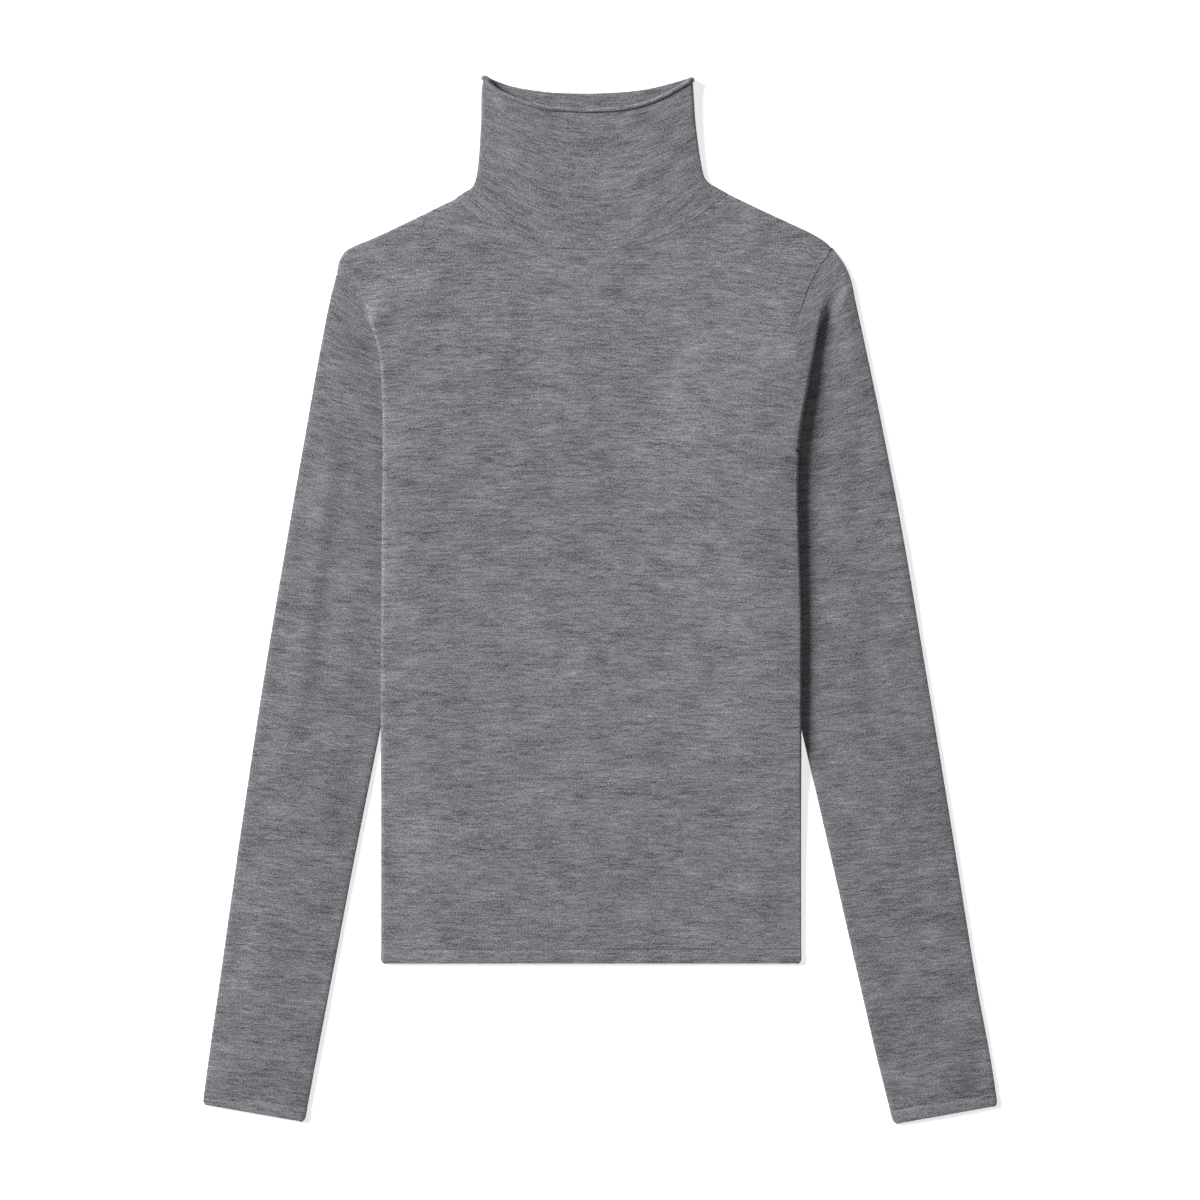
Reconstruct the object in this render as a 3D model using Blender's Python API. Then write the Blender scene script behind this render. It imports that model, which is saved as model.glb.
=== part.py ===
"""Fine-gauge turtleneck sweater lying flat on its back.

The sleeves hang down beside the body and their inner edges are tucked behind its sides. Every
knitted piece is one thin wall: a middle surface traced from sections, thickened by Solidify.
X runs across the body, Y from the hem to the neck, Z up from the floor. The sizes below are in
millimetres, and the meshes are made in metres.
"""
import math

import bpy
import bmesh
import numpy as np

MM = 0.001

# Walls and layers
WALL = 1.2               # knitted cloth
BAND_WALL = 1.6          # turned hem and cuff bands
SEAM_GAP = 0.3           # between two pieces at a seam
SLANT_GAP = 0.45         # the same, measured across the body where the seam slants
BEND_GAP = 0.8           # between two middle surfaces that end in a bend
SHOULDER_GAP = 1.1       # the same at the tighter bend of a shoulder seam
Z_BACK = WALL / 2        # middle of a layer on the floor
Z_FRONT = 2.6            # middle of the layer that lies on it
Z_TUCKED = 2.2           # middle of a sleeve's upper layer where the body presses on it
Z_OVER = 3.8             # middle of the layer that lies on a tucked sleeve

# Folds
SIDE_RADIUS = 2.2        # body side folds
SLEEVE_RADIUS = 1.3      # outer fold of a sleeve
TUCK_RADIUS = 0.8        # inner fold of a tucked sleeve
SHOULDER_RADIUS = 1.0    # shoulder seams
BAND_LIFT = 0.4          # the upper hem band clears the lower one by this much more
CORNER = 3.5             # radius of the rounded corners of hem and cuffs
CORNER_START = 3.0       # how far above the end they begin
BAND_ROWS = (CORNER_START, 1.2, 0.0)
RAMP = 15.0              # where the body comes down beside a tucked sleeve
EDGE_SHARE = 0.43        # part of a side's rise that falls off close to its edge
EDGE_REACH = 7.0         # how far inward that part reaches
PAST_TUCK = 0.6          # air past the end of what is tucked behind a side
LEAST_TUCK = {"fold": 6.0, "seam": 4.0}   # narrowest raised strip beside a side fold and an armhole seam
SEAM_STRIP = 1.0         # flat end of the front panel at the right armhole seam
LEAST_STRIP = 0.6        # narrowest strip of the right sleeve between that seam and its fold
OPEN_FOLD = (0.6, 1.6)   # air between the left seam's two folded edges: folded flat, half open
TAIL_SHARE = 0.7         # most of a sleeve's upper layer that its bent end takes up
FLAP_END = 30.0          # the back panel comes down to the floor over this length below the underarm
FLAP_SHORT = 1.4         # how far the back's raised part ends before its main part

# Levels along the body
HEM_Y = -275.9
HEM_BAND = 10.0
FLAP_TOP_Y = 110.0       # top of the back panel's part that lies on a sleeve
UNDERARM_Y = 114.0
TIP_Y = {"left": 246.0, "right": 266.8}   # tops of the armhole seams
APEX_Y = -100.0          # where the sleeve's inner edge comes out from under the body
BODY_DOWN_Y = APEX_Y - 55      # below this the body's side lies on the floor
SLEEVE_FREE_Y = APEX_Y - 60    # below this nothing presses on the sleeve
SETTLE = 50.0            # length over which either one changes
CAP_TOP = 3.0            # the sleeve's cloth starts this far below the top of the armhole seam
CUFF_BAND = 9.5
ROLL_HALF_HEIGHT = 2.0   # rolled edge of the collar
ROLL_HALF_DEPTH = 1.2
COLLAR_RADII = (1.0, 2.2)      # side folds of the collar at its neck line and at its top
COLLAR_SAG = 1.6               # the front layer sinks this much across the open top
COLLAR_RISE = 1.1              # the back layer lifts this much at the rolled edge
RISE_START = 0.82              # share of the collar's height where it begins to
STEEPEST = 4.2                 # limit on how far a steep neck line widens its seam gap


class Table:
    """Sizes in named columns, read smoothly along the first column."""

    def __init__(self, columns, rows):
        data = np.array(sorted(rows), float).T
        self.key = data[0]
        self.values = dict(zip(columns.split()[1:], data[1:]))

    def at(self, column, place):
        """Monotone cubic through the rows, so that nothing overshoots the given sizes."""
        key, value = self.key, self.values[column]
        gap = np.diff(key)
        slope = np.diff(value) / gap
        bend = np.concatenate(([slope[0]], np.zeros(len(key) - 2), [slope[-1]]))
        same = slope[:-1] * slope[1:] > 0
        pair = np.where(same, slope[:-1] + slope[1:], 1)
        bend[1:-1] = np.where(same, 2 * slope[:-1] * slope[1:] / pair, 0)
        place = np.clip(place, key[0], key[-1])
        i = np.clip(np.searchsorted(key, place) - 1, 0, len(key) - 2)
        t = (place - key[i]) / gap[i]
        rise = value[i + 1] - value[i]
        first = gap[i] * bend[i]
        last = gap[i] * bend[i + 1]
        square = 3 * rise - 2 * first - last
        cube = first + last - 2 * rise
        return value[i] + t * (first + t * (square + t * cube))


# Outline of the front panel: its side folds, and above the underarm its armhole seams
BODY_EDGE = {
    "left": Table("y x", [
        (-275.9, -166.4), (-100, -166.4), (30, -165.6), (139, -164.9), (173, -166.0), (191, -168.4),
        (214, -175.7), (222, -178.4), (236, -187.9), (246, -200.6)]),
    "right": Table("y x", [
        (-275.9, 152.8), (-14, 152.8), (33, 151.5), (80, 150.3), (114, 150.9), (139, 148.0), (157, 147.4),
        (174, 148.2), (210, 149.7), (226, 154.3), (239, 158.8), (254, 167.2), (266.8, 176.3)]),
}
# Armhole seams of the back panel, hidden under the sleeves from above
BACK_ARMHOLE = {
    "left": Table("y x", [(114, -115.0), (135, -127), (160, -142), (190, -160), (214, -174), (236, -187.9),
                          (246, -200.6)]),
    "right": Table("y x", [(114, 93.1), (135, 103), (160, 117), (190, 134), (214, 147), (239, 158.8),
                           (254, 167.2), (266.8, 176.3)]),
}
SLEEVE_OUTER = {
    "left": Table("y x", [
        (249, -200.0), (243, -201.3), (238, -202.6), (229, -204.9), (186, -213.3), (129, -223.4), (53, -236.7),
        (-61, -255.7), (-175, -272.8), (-289, -288.9), (-365, -299.6), (-384, -301.8)]),
    "right": Table("y x", [
        (266.8, 176.6), (262, 180.5), (254, 186.1), (242, 191.0), (229, 193.7), (186, 203.0), (129, 214.9),
        (53, 229.4), (-61, 248.7), (-175, 267.4), (-289, 285.7), (-365, 299.4), (-384, 301.8)]),
}
SLEEVE_INNER = {
    "left": Table("y x", [(114, -115.5), (60, -132.0), (-20, -151.0), (-118, -170.8), (-194, -186.0), (-270, -200.4),
                          (-346, -214.9), (-397, -224.4)]),
    "right": Table("y x", [(114, 93.6), (60, 111.0), (-20, 134.0), (-118, 157.5), (-194, 175.0), (-270, 192.3),
                           (-346, 209.8), (-398, 222.9)]),
}
CUFF_Y = {"left": (-383.1, -395.8), "right": (-384.2, -397.5)}   # at the outer edge and at the inner edge

# How a sleeve folds under beside the armhole seam, from the underarm up: the turn of each bend in
# degrees, the radius of the fold that shows, and the cloth tucked between the two bends
FOLD = {
    "left": Table("y turn radius tuck", [
        (114, 180, 2.2, 44), (135, 180, 2.2, 35), (160, 180, 2.2, 23), (180, 180, 2.1, 12), (195, 180, 1.7, 4),
        (204, 160, 1.4, 1), (212, 90, 1.2, 1), (222, 25, 1.1, 1), (232, 0, 1.0, 1), (249, 0, 1.0, 1)]),
    "right": Table("y turn radius tuck", [
        (114, 180, 2.2, 53), (135, 180, 2.2, 45), (160, 180, 2.2, 32), (190, 180, 2.1, 18), (212, 180, 1.8, 5),
        (222, 165, 1.5, 1), (232, 95, 1.2, 1), (243, 25, 1.1, 1), (252, 0, 1.0, 1), (266.8, 0, 1.0, 1)]),
}
# The fold that shows on the right sleeve, beyond the armhole seam
STRIP_FOLD = Table("y x", [(114, 152.2), (121, 152.9), (134, 154.6), (152, 157.6), (167, 159.9), (187, 162.2),
                           (207, 166.6), (223, 171.2), (243, 176.0), (266.8, 180.0)])

# Shoulder lines, from the left armhole (share 0) to the right one (share 1); the neck line lies between
SHOULDERS = Table("share x y", [
    (0, -200.6, 246), (0.01, -199.6, 254.0), (0.025, -195.8, 261.0), (0.05, -187.0, 267.4), (0.10, -168.6, 276.2),
    (0.15, -150.0, 285.0), (0.20, -129.7, 295.0), (0.25, -109.4, 306.0), (0.26, -105.3, 307.0), (0.74, 93.2, 310.0),
    (0.75, 97.3, 309.0), (0.80, 118.2, 298.4), (0.86, 139.0, 288.7), (0.94, 163.5, 276.8), (0.975, 171.8, 271.2),
    (1, 176.3, 266.8)])
NECK_SHARES = (0.25, 0.75)

# Collar sides, from the neck line (height 0) to its top corners (height 1)
COLLAR_SIDES = Table("height left_x left_y right_x right_y", [
    (0, -109.4, 306.0, 97.3, 309.0), (0.04, -103.0, 309.4, 90.5, 312.0), (0.09, -97.2, 313.2, 84.0, 315.4),
    (0.17, -94.2, 320.7, 79.4, 320.9), (0.30, -92.4, 333.0, 76.8, 331.6), (0.48, -91.3, 349.0, 74.2, 349.0),
    (0.68, -90.4, 367.0, 72.2, 367.0), (0.88, -90.2, 385.0, 71.1, 385.0), (1, -88.6, 394.0, 70.4, 393.5)])
# Neck lines and top edges of the collar's two layers, across its width
COLLAR_LINES = Table("across front_low back_low front_top back_top", [
    (0, 306.0, 306.0, 394.0, 394.0), (0.06, 291.5, 302.6, 386.2, 391.0), (0.14, 283.5, 299.5, 379.6, 386.8),
    (0.26, 272.5, 296.6, 374.0, 383.6), (0.36, 267.5, 295.0, 371.6, 382.0), (0.50, 265.8, 294.5, 370.8, 381.6),
    (0.66, 269.0, 295.4, 372.0, 382.6), (0.78, 278.0, 297.6, 376.2, 384.8), (0.87, 289.0, 300.6, 382.0, 388.0),
    (0.94, 299.0, 304.4, 388.2, 391.2), (1, 309.0, 309.0, 393.5, 393.5)])

# Mesh steps
BEND_STEPS = 4
TUCK_STEPS = 2
SIDE_SHARES = (0.5, 1.0)          # columns over a tucked sleeve
RAMP_SHARES = (0.4, 1.0)          # columns where the body comes down beside it
COLLAR_ACROSS = (0.06, 0.18, 0.34, 0.50, 0.66, 0.82, 0.94)
COLLAR_LEVELS = (0.0, 0.06, 0.14, 0.26, 0.48, 0.72, 0.88, 1.0)
BODY_ROWS = (-265.6, -210, -160, -125, -100, -60, 0, 50, 90, FLAP_TOP_Y, UNDERARM_Y, 135, 160, 180, 195, 204,
             212, 222, 232, 240, TIP_Y["left"] - SHOULDER_RADIUS - SEAM_GAP / 2)
RING_ROWS = 11
SLEEVE_STEPS = 5


def inward(side):
    """Direction from a side's edge to the middle of the body."""
    return 1 if side == "left" else -1


def smooth(share):
    """Soft step from 0 to 1."""
    share = np.clip(share, 0, 1)
    return share * share * (3 - 2 * share)


def trace(heading, *moves):
    """Points of a line in a section: each move is a length, a turn in degrees and its steps."""
    points = [(0.0, 0.0)]
    angle = math.radians(heading)
    for length, turn, steps in moves:
        half = math.radians(turn) / steps / 2
        for _ in range(steps):
            angle += half
            x, z = points[-1]
            points.append((x + length / steps * math.cos(angle), z + length / steps * math.sin(angle)))
            angle += half
    return np.array(points)


def half_fold(radius):
    """Length and turn of one side of a fold, up to half a gap from the other side."""
    turn = math.acos(BEND_GAP / 2 / radius)
    return radius * turn, math.degrees(turn)


# ---------------------------------------------------------------- the fold beside the armhole seam

def fold_end(side, y):
    """The folded end of a sleeve's upper layer, from the last flat point inward to the seam."""
    turn, radius, tuck = (float(FOLD[side].at(name, y)) for name in ("turn", "radius", "tuck"))
    moves = [(math.pi * TUCK_RADIUS, turn, BEND_STEPS), (tuck, 0, TUCK_STEPS)]
    if side == "right":
        strip = max(LEAST_STRIP, strip_width(y, turn, radius))
        moves += [(math.pi * radius, -turn, BEND_STEPS), (strip, 0, TUCK_STEPS)]
    return trace(0, *moves)


def strip_width(y, turn, radius):
    """Sleeve cloth that shows between the seam and the fold on the right."""
    seam = float(BODY_EDGE["right"].at("x", y))
    return (float(STRIP_FOLD.at("x", y)) - WALL / 2 - radius - seam) * smooth(turn / 180) + SEAM_STRIP


def lip(side, y):
    """The bent edge of the front panel, outward from its last flat point."""
    if y < UNDERARM_Y:
        return trace(0, half_fold_move(-1))
    if side == "right":
        return trace(0, (SEAM_STRIP, 0, BEND_STEPS))
    turn, radius = (float(FOLD[side].at(name, y)) for name in ("turn", "radius"))
    return trace(0, (math.pi * radius, -turn, BEND_STEPS))


def half_fold_move(direction):
    """The bend of a body panel at a side fold."""
    length, turn = half_fold(SIDE_RADIUS)
    return length, direction * turn, BEND_STEPS


def left_seam_gap(y):
    """Step along the cloth from the end of the front panel's lip to the left sleeve."""
    turn = math.radians(float(FOLD["left"].at("turn", y)))
    flat, half_open = OPEN_FOLD
    open_fold = half_open + (flat - half_open) * smooth((turn - math.radians(165)) / math.radians(15))
    gap = SLANT_GAP + open_fold * smooth(turn / math.radians(90))
    return gap * math.cos(turn), -gap * math.sin(turn)


def seam_height(side, y):
    """Middle of the sleeve's cloth at the front armhole seam."""
    turn = float(FOLD[side].at("turn", y))
    low = Z_FRONT + (Z_TUCKED - Z_FRONT) * smooth(turn / 180)
    return low + fold_end(side, y)[-1, 1]


def cover(y):
    """How far the body's side is lifted by the sleeve tucked behind it, 0 to 1."""
    return smooth((y - BODY_DOWN_Y) / SETTLE)


def edge_height(side, y):
    """Middle of the front panel at the flat end of its lip."""
    if y < UNDERARM_Y:
        low = Z_BACK + (Z_OVER - Z_BACK) * cover(y)
        return low + 2 * SIDE_RADIUS
    drop = left_seam_gap(y)[1] if side == "left" else 0.0
    return seam_height(side, y) - drop - lip(side, y)[-1, 1]


def tuck_width(side, y):
    """From the front panel's edge to just past what is tucked behind it."""
    past = WALL / 2 + PAST_TUCK
    if y < UNDERARM_Y:
        inner = float(SLEEVE_INNER[side].at("x", y)) * inward(side)
        edge = float(BODY_EDGE[side].at("x", y)) * inward(side)
        return max(inner - edge + past, LEAST_TUCK["fold"])
    end = fold_end(side, y)
    return max(end[:, 0].max() - end[-1, 0] + past, LEAST_TUCK["seam"])


# ---------------------------------------------------------------- body panels

def levels(row_y):
    """A row's height on the left and the right edge."""
    if row_y <= UNDERARM_Y:
        return {"left": row_y, "right": row_y}
    share = (row_y - UNDERARM_Y) / (TIP_Y["left"] - UNDERARM_Y)
    return {"left": row_y, "right": UNDERARM_Y + share * (TIP_Y["right"] - UNDERARM_Y)}


def top_line(layer, share):
    """X and Y of a panel's top: shoulder, neck line, shoulder."""
    first, last = NECK_SHARES
    across = (share - first) / (last - first)
    if 0 < across < 1:
        sides = [float(COLLAR_SIDES.at(name, 0)) for name in ("left_x", "right_x")]
        height = COLLAR_LINES.at(layer + "_low", across)
        return np.array([sides[0] + (sides[1] - sides[0]) * across, height], float)
    return np.array([SHOULDERS.at("x", share), SHOULDERS.at("y", share)], float)


def row_line(layer, row, edges):
    """A function from share across to X and Y, filled in between the four sides of a panel."""
    y = levels(row)
    left, right = (np.array([edges[side], y[side]]) for side in ("left", "right"))
    high = [top_line(layer, share) for share in (0, 1)]
    upward = max(0.0, (row - UNDERARM_Y) / (TIP_Y["left"] - UNDERARM_Y))
    follow = np.array([upward ** 2, upward])

    def place(share):
        straight = (1 - share) * high[0] + share * high[1]
        return (1 - share) * left + share * right + follow * (top_line(layer, share) - straight)
    return place


def middle_shares(left, right):
    """Columns between the two sides: the ones of the neck line, and one more beside each end."""
    first, last = NECK_SHARES
    neck = [first + (last - first) * across for across in COLLAR_ACROSS]
    return [(left + first) / 2, first] + neck + [last, (right + last) / 2]


def lifts(side, y, distance):
    """Rise of the front panel near one side, by distance from its edge."""
    rise = edge_height(side, y) - Z_FRONT
    over = smooth(1 - (distance - SIDE_RADIUS - tuck_width(side, y)) / RAMP)
    return rise * ((1 - EDGE_SHARE) * over + EDGE_SHARE * math.exp(-(distance / EDGE_REACH) ** 2))


def panel_row(layer, row, edges, z_at, lips):
    """One row of a panel's middle surface, with its bent edges."""
    y = levels(row)
    place = row_line(layer, row, edges)
    width = edges["right"] - edges["left"]
    shares = []
    for side in ("left", "right"):
        flat = lips[side][:, 0].max()
        tuck = tuck_width(side, y[side])
        offsets = [flat] + [flat + tuck * share for share in SIDE_SHARES]
        offsets += [flat + tuck + RAMP * share for share in RAMP_SHARES]
        shares.append([offset / width for offset in offsets])
    left, right = shares[0], [1 - share for share in shares[1]][::-1]
    points = []
    for share in left + middle_shares(left[-1], right[0]) + right:
        x, y_here = place(share)
        points.append((x, y_here, z_at(y, x - edges["left"], edges["right"] - x)))
    points = np.array(points)
    for side in ("left", "right"):
        end = points[0] if side == "left" else points[-1]
        bent = end + [(-inward(side) * dx, 0.0, dz) for dx, dz in lips[side][1:]]
        drift = end[:2] - (edges[side] + inward(side) * lips[side][:, 0].max(), y[side])
        bent[:, :2] -= np.linspace((0, 0), drift, len(bent) + 1)[1:]
        points = np.vstack((bent[::-1], points)) if side == "left" else np.vstack((points, bent))
    return points


def front_row(row):
    """Middle surface of the front panel along one row."""
    y = levels(row)
    edges = {}
    lips = {}
    for side in ("left", "right"):
        lips[side] = lip(side, y[side])
        shift = WALL / 2 if row < UNDERARM_Y or side == "left" else SLANT_GAP / 2
        edges[side] = float(BODY_EDGE[side].at("x", y[side])) + inward(side) * shift

    def height(y_at, from_left, from_right):
        return Z_FRONT + lifts("left", y_at["left"], from_left) + lifts("right", y_at["right"], from_right)
    return panel_row("front", row, edges, height, lips)


def shoulder_rows(last, turn_down, count):
    """Rows above the last flat one: bent over at the shoulders, flat along the neck line."""
    rows = []
    angle_end = math.acos(SHOULDER_GAP / 2 / SHOULDER_RADIUS)
    neck_x = [float(COLLAR_SIDES.at(name, 0)) for name in ("left_x", "right_x")]
    neck = smooth((last[:, 0] - neck_x[0]) / 4 + 0.5) * smooth((neck_x[1] - last[:, 0]) / 4 + 0.5)
    for step in range(1, count + 1):
        angle = angle_end * step / count
        row = last.copy()
        bent = SHOULDER_RADIUS * math.sin(angle)
        flat = SHOULDER_RADIUS * step / count
        row[:, 1] += bent * (1 - neck) + flat * neck
        row[:, 2] += turn_down * SHOULDER_RADIUS * (1 - math.cos(angle)) * (1 - neck)
        rows.append(row)
    return rows


def front_grid():
    """Middle surface of the front panel."""
    rows = [front_row(row) for row in BODY_ROWS]
    return np.array(rows + shoulder_rows(rows[-1], -1, 2))


def back_main_row(row):
    """Middle surface of the back panel between the lines where it comes down to the floor."""
    y = levels(row)
    edges = {}
    heights = {}
    for side in ("left", "right"):
        if row <= FLAP_TOP_Y:
            edge = float(BODY_EDGE[side].at("x", y[side])) + inward(side) * (WALL / 2)
            edges[side] = edge + inward(side) * (SIDE_RADIUS + tuck_width(side, y[side]))
            heights[side] = (Z_OVER - Z_BACK) * cover(y[side]) * smooth((UNDERARM_Y - y[side]) / FLAP_END)
        else:
            edges[side] = float(BACK_ARMHOLE[side].at("x", y[side])) + inward(side) * (SLANT_GAP / 2)
            heights[side] = 0.0
    place = row_line("back", row, edges)
    width = edges["right"] - edges["left"]
    ramp = [RAMP * share / width for share in (0, *RAMP_SHARES)]
    shares = ramp + middle_shares(ramp[-1], 1 - ramp[-1]) + [1 - share for share in ramp[::-1]]
    points = []
    for share in shares:
        x, y_here = place(share)
        rise = heights["left"] * smooth(1 - (x - edges["left"]) / RAMP)
        rise += heights["right"] * smooth(1 - (edges["right"] - x) / RAMP)
        points.append((x, y_here, Z_BACK + rise))
    return np.array(points)


def back_flap_row(side, row, main_row):
    """The back panel from a side fold to the line where it comes down, over the tucked sleeve."""
    y = levels(row)[side]
    edge = float(BODY_EDGE[side].at("x", y)) + inward(side) * (WALL / 2)
    tuck = tuck_width(side, y)
    height = Z_BACK + (Z_OVER - Z_BACK) * cover(y)
    last = main_row[0] if side == "left" else main_row[-1]
    bend = trace(0, half_fold_move(1))
    flat_x = edge + inward(side) * SIDE_RADIUS
    points = [(flat_x - inward(side) * dx, last[1], height + dz) for dx, dz in bend[::-1]]
    points += [(flat_x + inward(side) * (tuck - FLAP_SHORT) * share, last[1], height) for share in (0.5, 1.0)]
    points.append(tuple(last))
    return np.array(points)


def back_grids():
    """Middle surface of the back panel: the main part and the two parts that lie on the sleeves."""
    main = [back_main_row(row) for row in BODY_ROWS]
    under = [row for row in BODY_ROWS if row <= FLAP_TOP_Y]
    flaps = [np.array([back_flap_row(side, row, main[i]) for i, row in enumerate(under)])
             for side in ("left", "right")]
    return [np.array(main + shoulder_rows(main[-1], 1, 2))] + flaps


# ---------------------------------------------------------------- sleeves

def outer_bend(side, y):
    """The sleeve's outer fold, from the upper layer round to the layer on the floor."""
    angles = np.linspace(math.pi / 2, -math.pi / 2, BEND_STEPS + 1)
    edge = float(SLEEVE_OUTER[side].at("x", y)) * inward(side) + WALL / 2
    return np.array([(edge + SLEEVE_RADIUS * (1 - math.cos(a)), Z_BACK + SLEEVE_RADIUS * (1 + math.sin(a)))
                     for a in angles])


def upper_layer(start, end, steps):
    """The upper layer between two points of a section, settling softly from one height to the other."""
    shares = np.linspace(0, 1, steps + 1)
    return np.array([(start[0] + (end[0] - start[0]) * s, start[1] + (end[1] - start[1]) * smooth(2 * s))
                     for s in shares])


def cap_row(side, y):
    """Section above the underarm, from the front armhole seam round to the back one."""
    bend = outer_bend(side, y)
    body = lip(side, y)[-1]
    edge = float(BODY_EDGE[side].at("x", y)) * inward(side)
    if side == "left":
        flat = edge + WALL / 2 + lip(side, y)[:, 0].max()
        step = left_seam_gap(y)
        seam = np.array([flat - body[0] - step[0], edge_height(side, y) + body[1] + step[1]])
    else:
        seam = np.array([edge - SLANT_GAP / 2, seam_height(side, y)])
    tail = fold_end(side, y)
    room = seam[0] - bend[0, 0]
    if tail[-1, 0] > TAIL_SHARE * room and float(FOLD[side].at("turn", y)) < 60:
        tail = tail * (TAIL_SHARE * room / tail[-1, 0], 1)
    tail = tail + (seam - tail[-1])
    upper = upper_layer(bend[0], tail[0], SLEEVE_STEPS)
    back_seam = float(BACK_ARMHOLE[side].at("x", y)) * inward(side) - SLANT_GAP / 2
    if y == UNDERARM_Y:
        back_seam = inner_center(side, y)
    under = np.array([(x, Z_BACK) for x in np.linspace(bend[-1, 0], max(back_seam, bend[-1, 0] + 1),
                                                       SLEEVE_STEPS)[1:]])
    return np.vstack((tail[::-1], upper[::-1][1:], bend[1:], under))


def place_row(side, section, y_outer, y_inner):
    """Set a section's points in the sleeve, its row running from the outer to the inner edge."""
    outer = section[:, 0].min()
    width = section[:, 0].max() - outer
    share = (section[:, 0] - outer) / width
    return np.column_stack((section[:, 0] * inward(side), y_outer + (y_inner - y_outer) * share, section[:, 1]))


def inner_height(y):
    """Upper layer of the sleeve at its inner fold: pressed under the body, fuller below it."""
    free = Z_BACK + 2 * SLEEVE_RADIUS
    return free + (Z_TUCKED - free) * smooth((y - SLEEVE_FREE_Y) / SETTLE)


def inner_center(side, y):
    """Middle of the inner fold's bend."""
    radius = (inner_height(y) - Z_BACK) / 2
    return float(SLEEVE_INNER[side].at("x", y)) * inward(side) - WALL / 2 - radius


def ring_row(side, y_outer, y_inner):
    """Section below the underarm: upper layer, outer fold, layer on the floor and inner fold."""
    bend = outer_bend(side, y_outer)
    high = inner_height(y_inner)
    radius = (high - Z_BACK) / 2
    inner = inner_center(side, y_inner)
    upper = upper_layer(bend[0], (inner, high), SLEEVE_STEPS)
    under = np.array([(x, Z_BACK) for x in np.linspace(bend[-1, 0], inner, SLEEVE_STEPS)[1:]])
    angles = np.linspace(-math.pi / 2, math.pi / 2, BEND_STEPS + 1)[1:]
    closing = np.array([(inner + radius * math.cos(a), Z_BACK + radius * (1 + math.sin(a))) for a in angles])
    return np.vstack((upper[::-1], bend[1:], under, closing))


def sleeve_line(side, share):
    """Heights of a ring row at the outer and the inner edge, from the underarm to the cuff's end."""
    outer, inner = CUFF_Y[side]
    return UNDERARM_Y + (outer - UNDERARM_Y) * share, UNDERARM_Y + (inner - UNDERARM_Y) * share


def cuff_share(side):
    """Where the cuff band starts, as a share of the way from the underarm to its end."""
    length = UNDERARM_Y - sum(CUFF_Y[side]) / 2
    return 1 - CUFF_BAND / length


def sleeve_grids(side):
    """Middle surface of a sleeve: its cap, open to the armhole, and its tube."""
    rows = [levels(row)[side] for row in BODY_ROWS if row >= UNDERARM_Y]
    rows[-1] = TIP_Y[side] - CAP_TOP
    cap = [place_row(side, cap_row(side, y), y, y) for y in rows]
    joined = len(fold_end(side, UNDERARM_Y)) - 1
    shares = np.linspace(0, cuff_share(side) - 0.0006, RING_ROWS)
    tube = []
    for share in shares:
        y_outer, y_inner = sleeve_line(side, share)
        tube.append(place_row(side, ring_row(side, y_outer, y_inner), y_outer, y_inner))
    shared = cap[0][joined:]
    tube[0][:len(shared)] = shared
    tube[0][-1] = shared[0]
    return [np.array(cap), np.array(tube)]


def corner_inset(distance):
    """How far a rounded corner draws the edge in, by distance from the end of the band."""
    short = max(0.0, CORNER_START - distance)
    return CORNER - math.sqrt(CORNER ** 2 - short ** 2)


def cuff_grid(side):
    """Middle surface of a cuff band, slightly thicker than the sleeve."""
    rows = []
    length = UNDERARM_Y - sum(CUFF_Y[side]) / 2
    for distance in (CUFF_BAND - SEAM_GAP / 2, *BAND_ROWS):
        y_outer, y_inner = sleeve_line(side, 1 - distance / length)
        section = ring_row(side, y_outer, y_inner)
        section[:, 1] += (BAND_WALL - WALL) / 2
        middle = (section[:, 0].max() + section[:, 0].min()) / 2
        half = section[:, 0].max() - middle
        section[:, 0] = middle + (section[:, 0] - middle) * (half - corner_inset(distance)) / half
        rows.append(place_row(side, section, y_outer, y_inner))
    return np.array(rows)


# ---------------------------------------------------------------- hem bands

def hem_grid(panel_row_points, upper):
    """Middle surface of a hem band, carried on from the panel's lowest row."""
    rows = []
    middle = (panel_row_points[:, 0].max() + panel_row_points[:, 0].min()) / 2
    half = panel_row_points[:, 0].max() - middle
    for distance in (HEM_BAND - SEAM_GAP / 2, *BAND_ROWS):
        row = panel_row_points.copy()
        row[:, 0] = middle + (row[:, 0] - middle) * (half - corner_inset(distance)) / half
        row[:, 1] = HEM_Y + distance
        row[:, 2] += (BAND_WALL - WALL) / 2
        if upper:
            row[:, 2] += BAND_LIFT * (row[:, 2] < Z_FRONT + 1.5)
        rows.append(row)
    return np.array(rows)


# ---------------------------------------------------------------- collar

def collar_fold_radius(height):
    """Side folds of the collar open a little towards its top."""
    low, high = COLLAR_RADII
    return low + (high - low) * smooth(height)


def collar_point(layer, across, height):
    """X and Y of a point on one layer, between its neck line, its top edge and the two sides."""
    sides = {name: COLLAR_SIDES.at(name, height) for name in ("left_x", "left_y", "right_x", "right_y")}
    low = COLLAR_LINES.at(layer + "_low", across)
    high = COLLAR_LINES.at(layer + "_top", across)
    ends = [COLLAR_LINES.at(layer + name, share) for name in ("_low", "_top") for share in (0, 1)]
    x = (1 - across) * sides["left_x"] + across * sides["right_x"]
    side_y = (1 - across) * sides["left_y"] + across * sides["right_y"]
    low_off = low - ((1 - across) * ends[0] + across * ends[1])
    high_off = high - ((1 - across) * ends[2] + across * ends[3])
    return float(x), float(side_y + (1 - height) * low_off + height * high_off)


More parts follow.
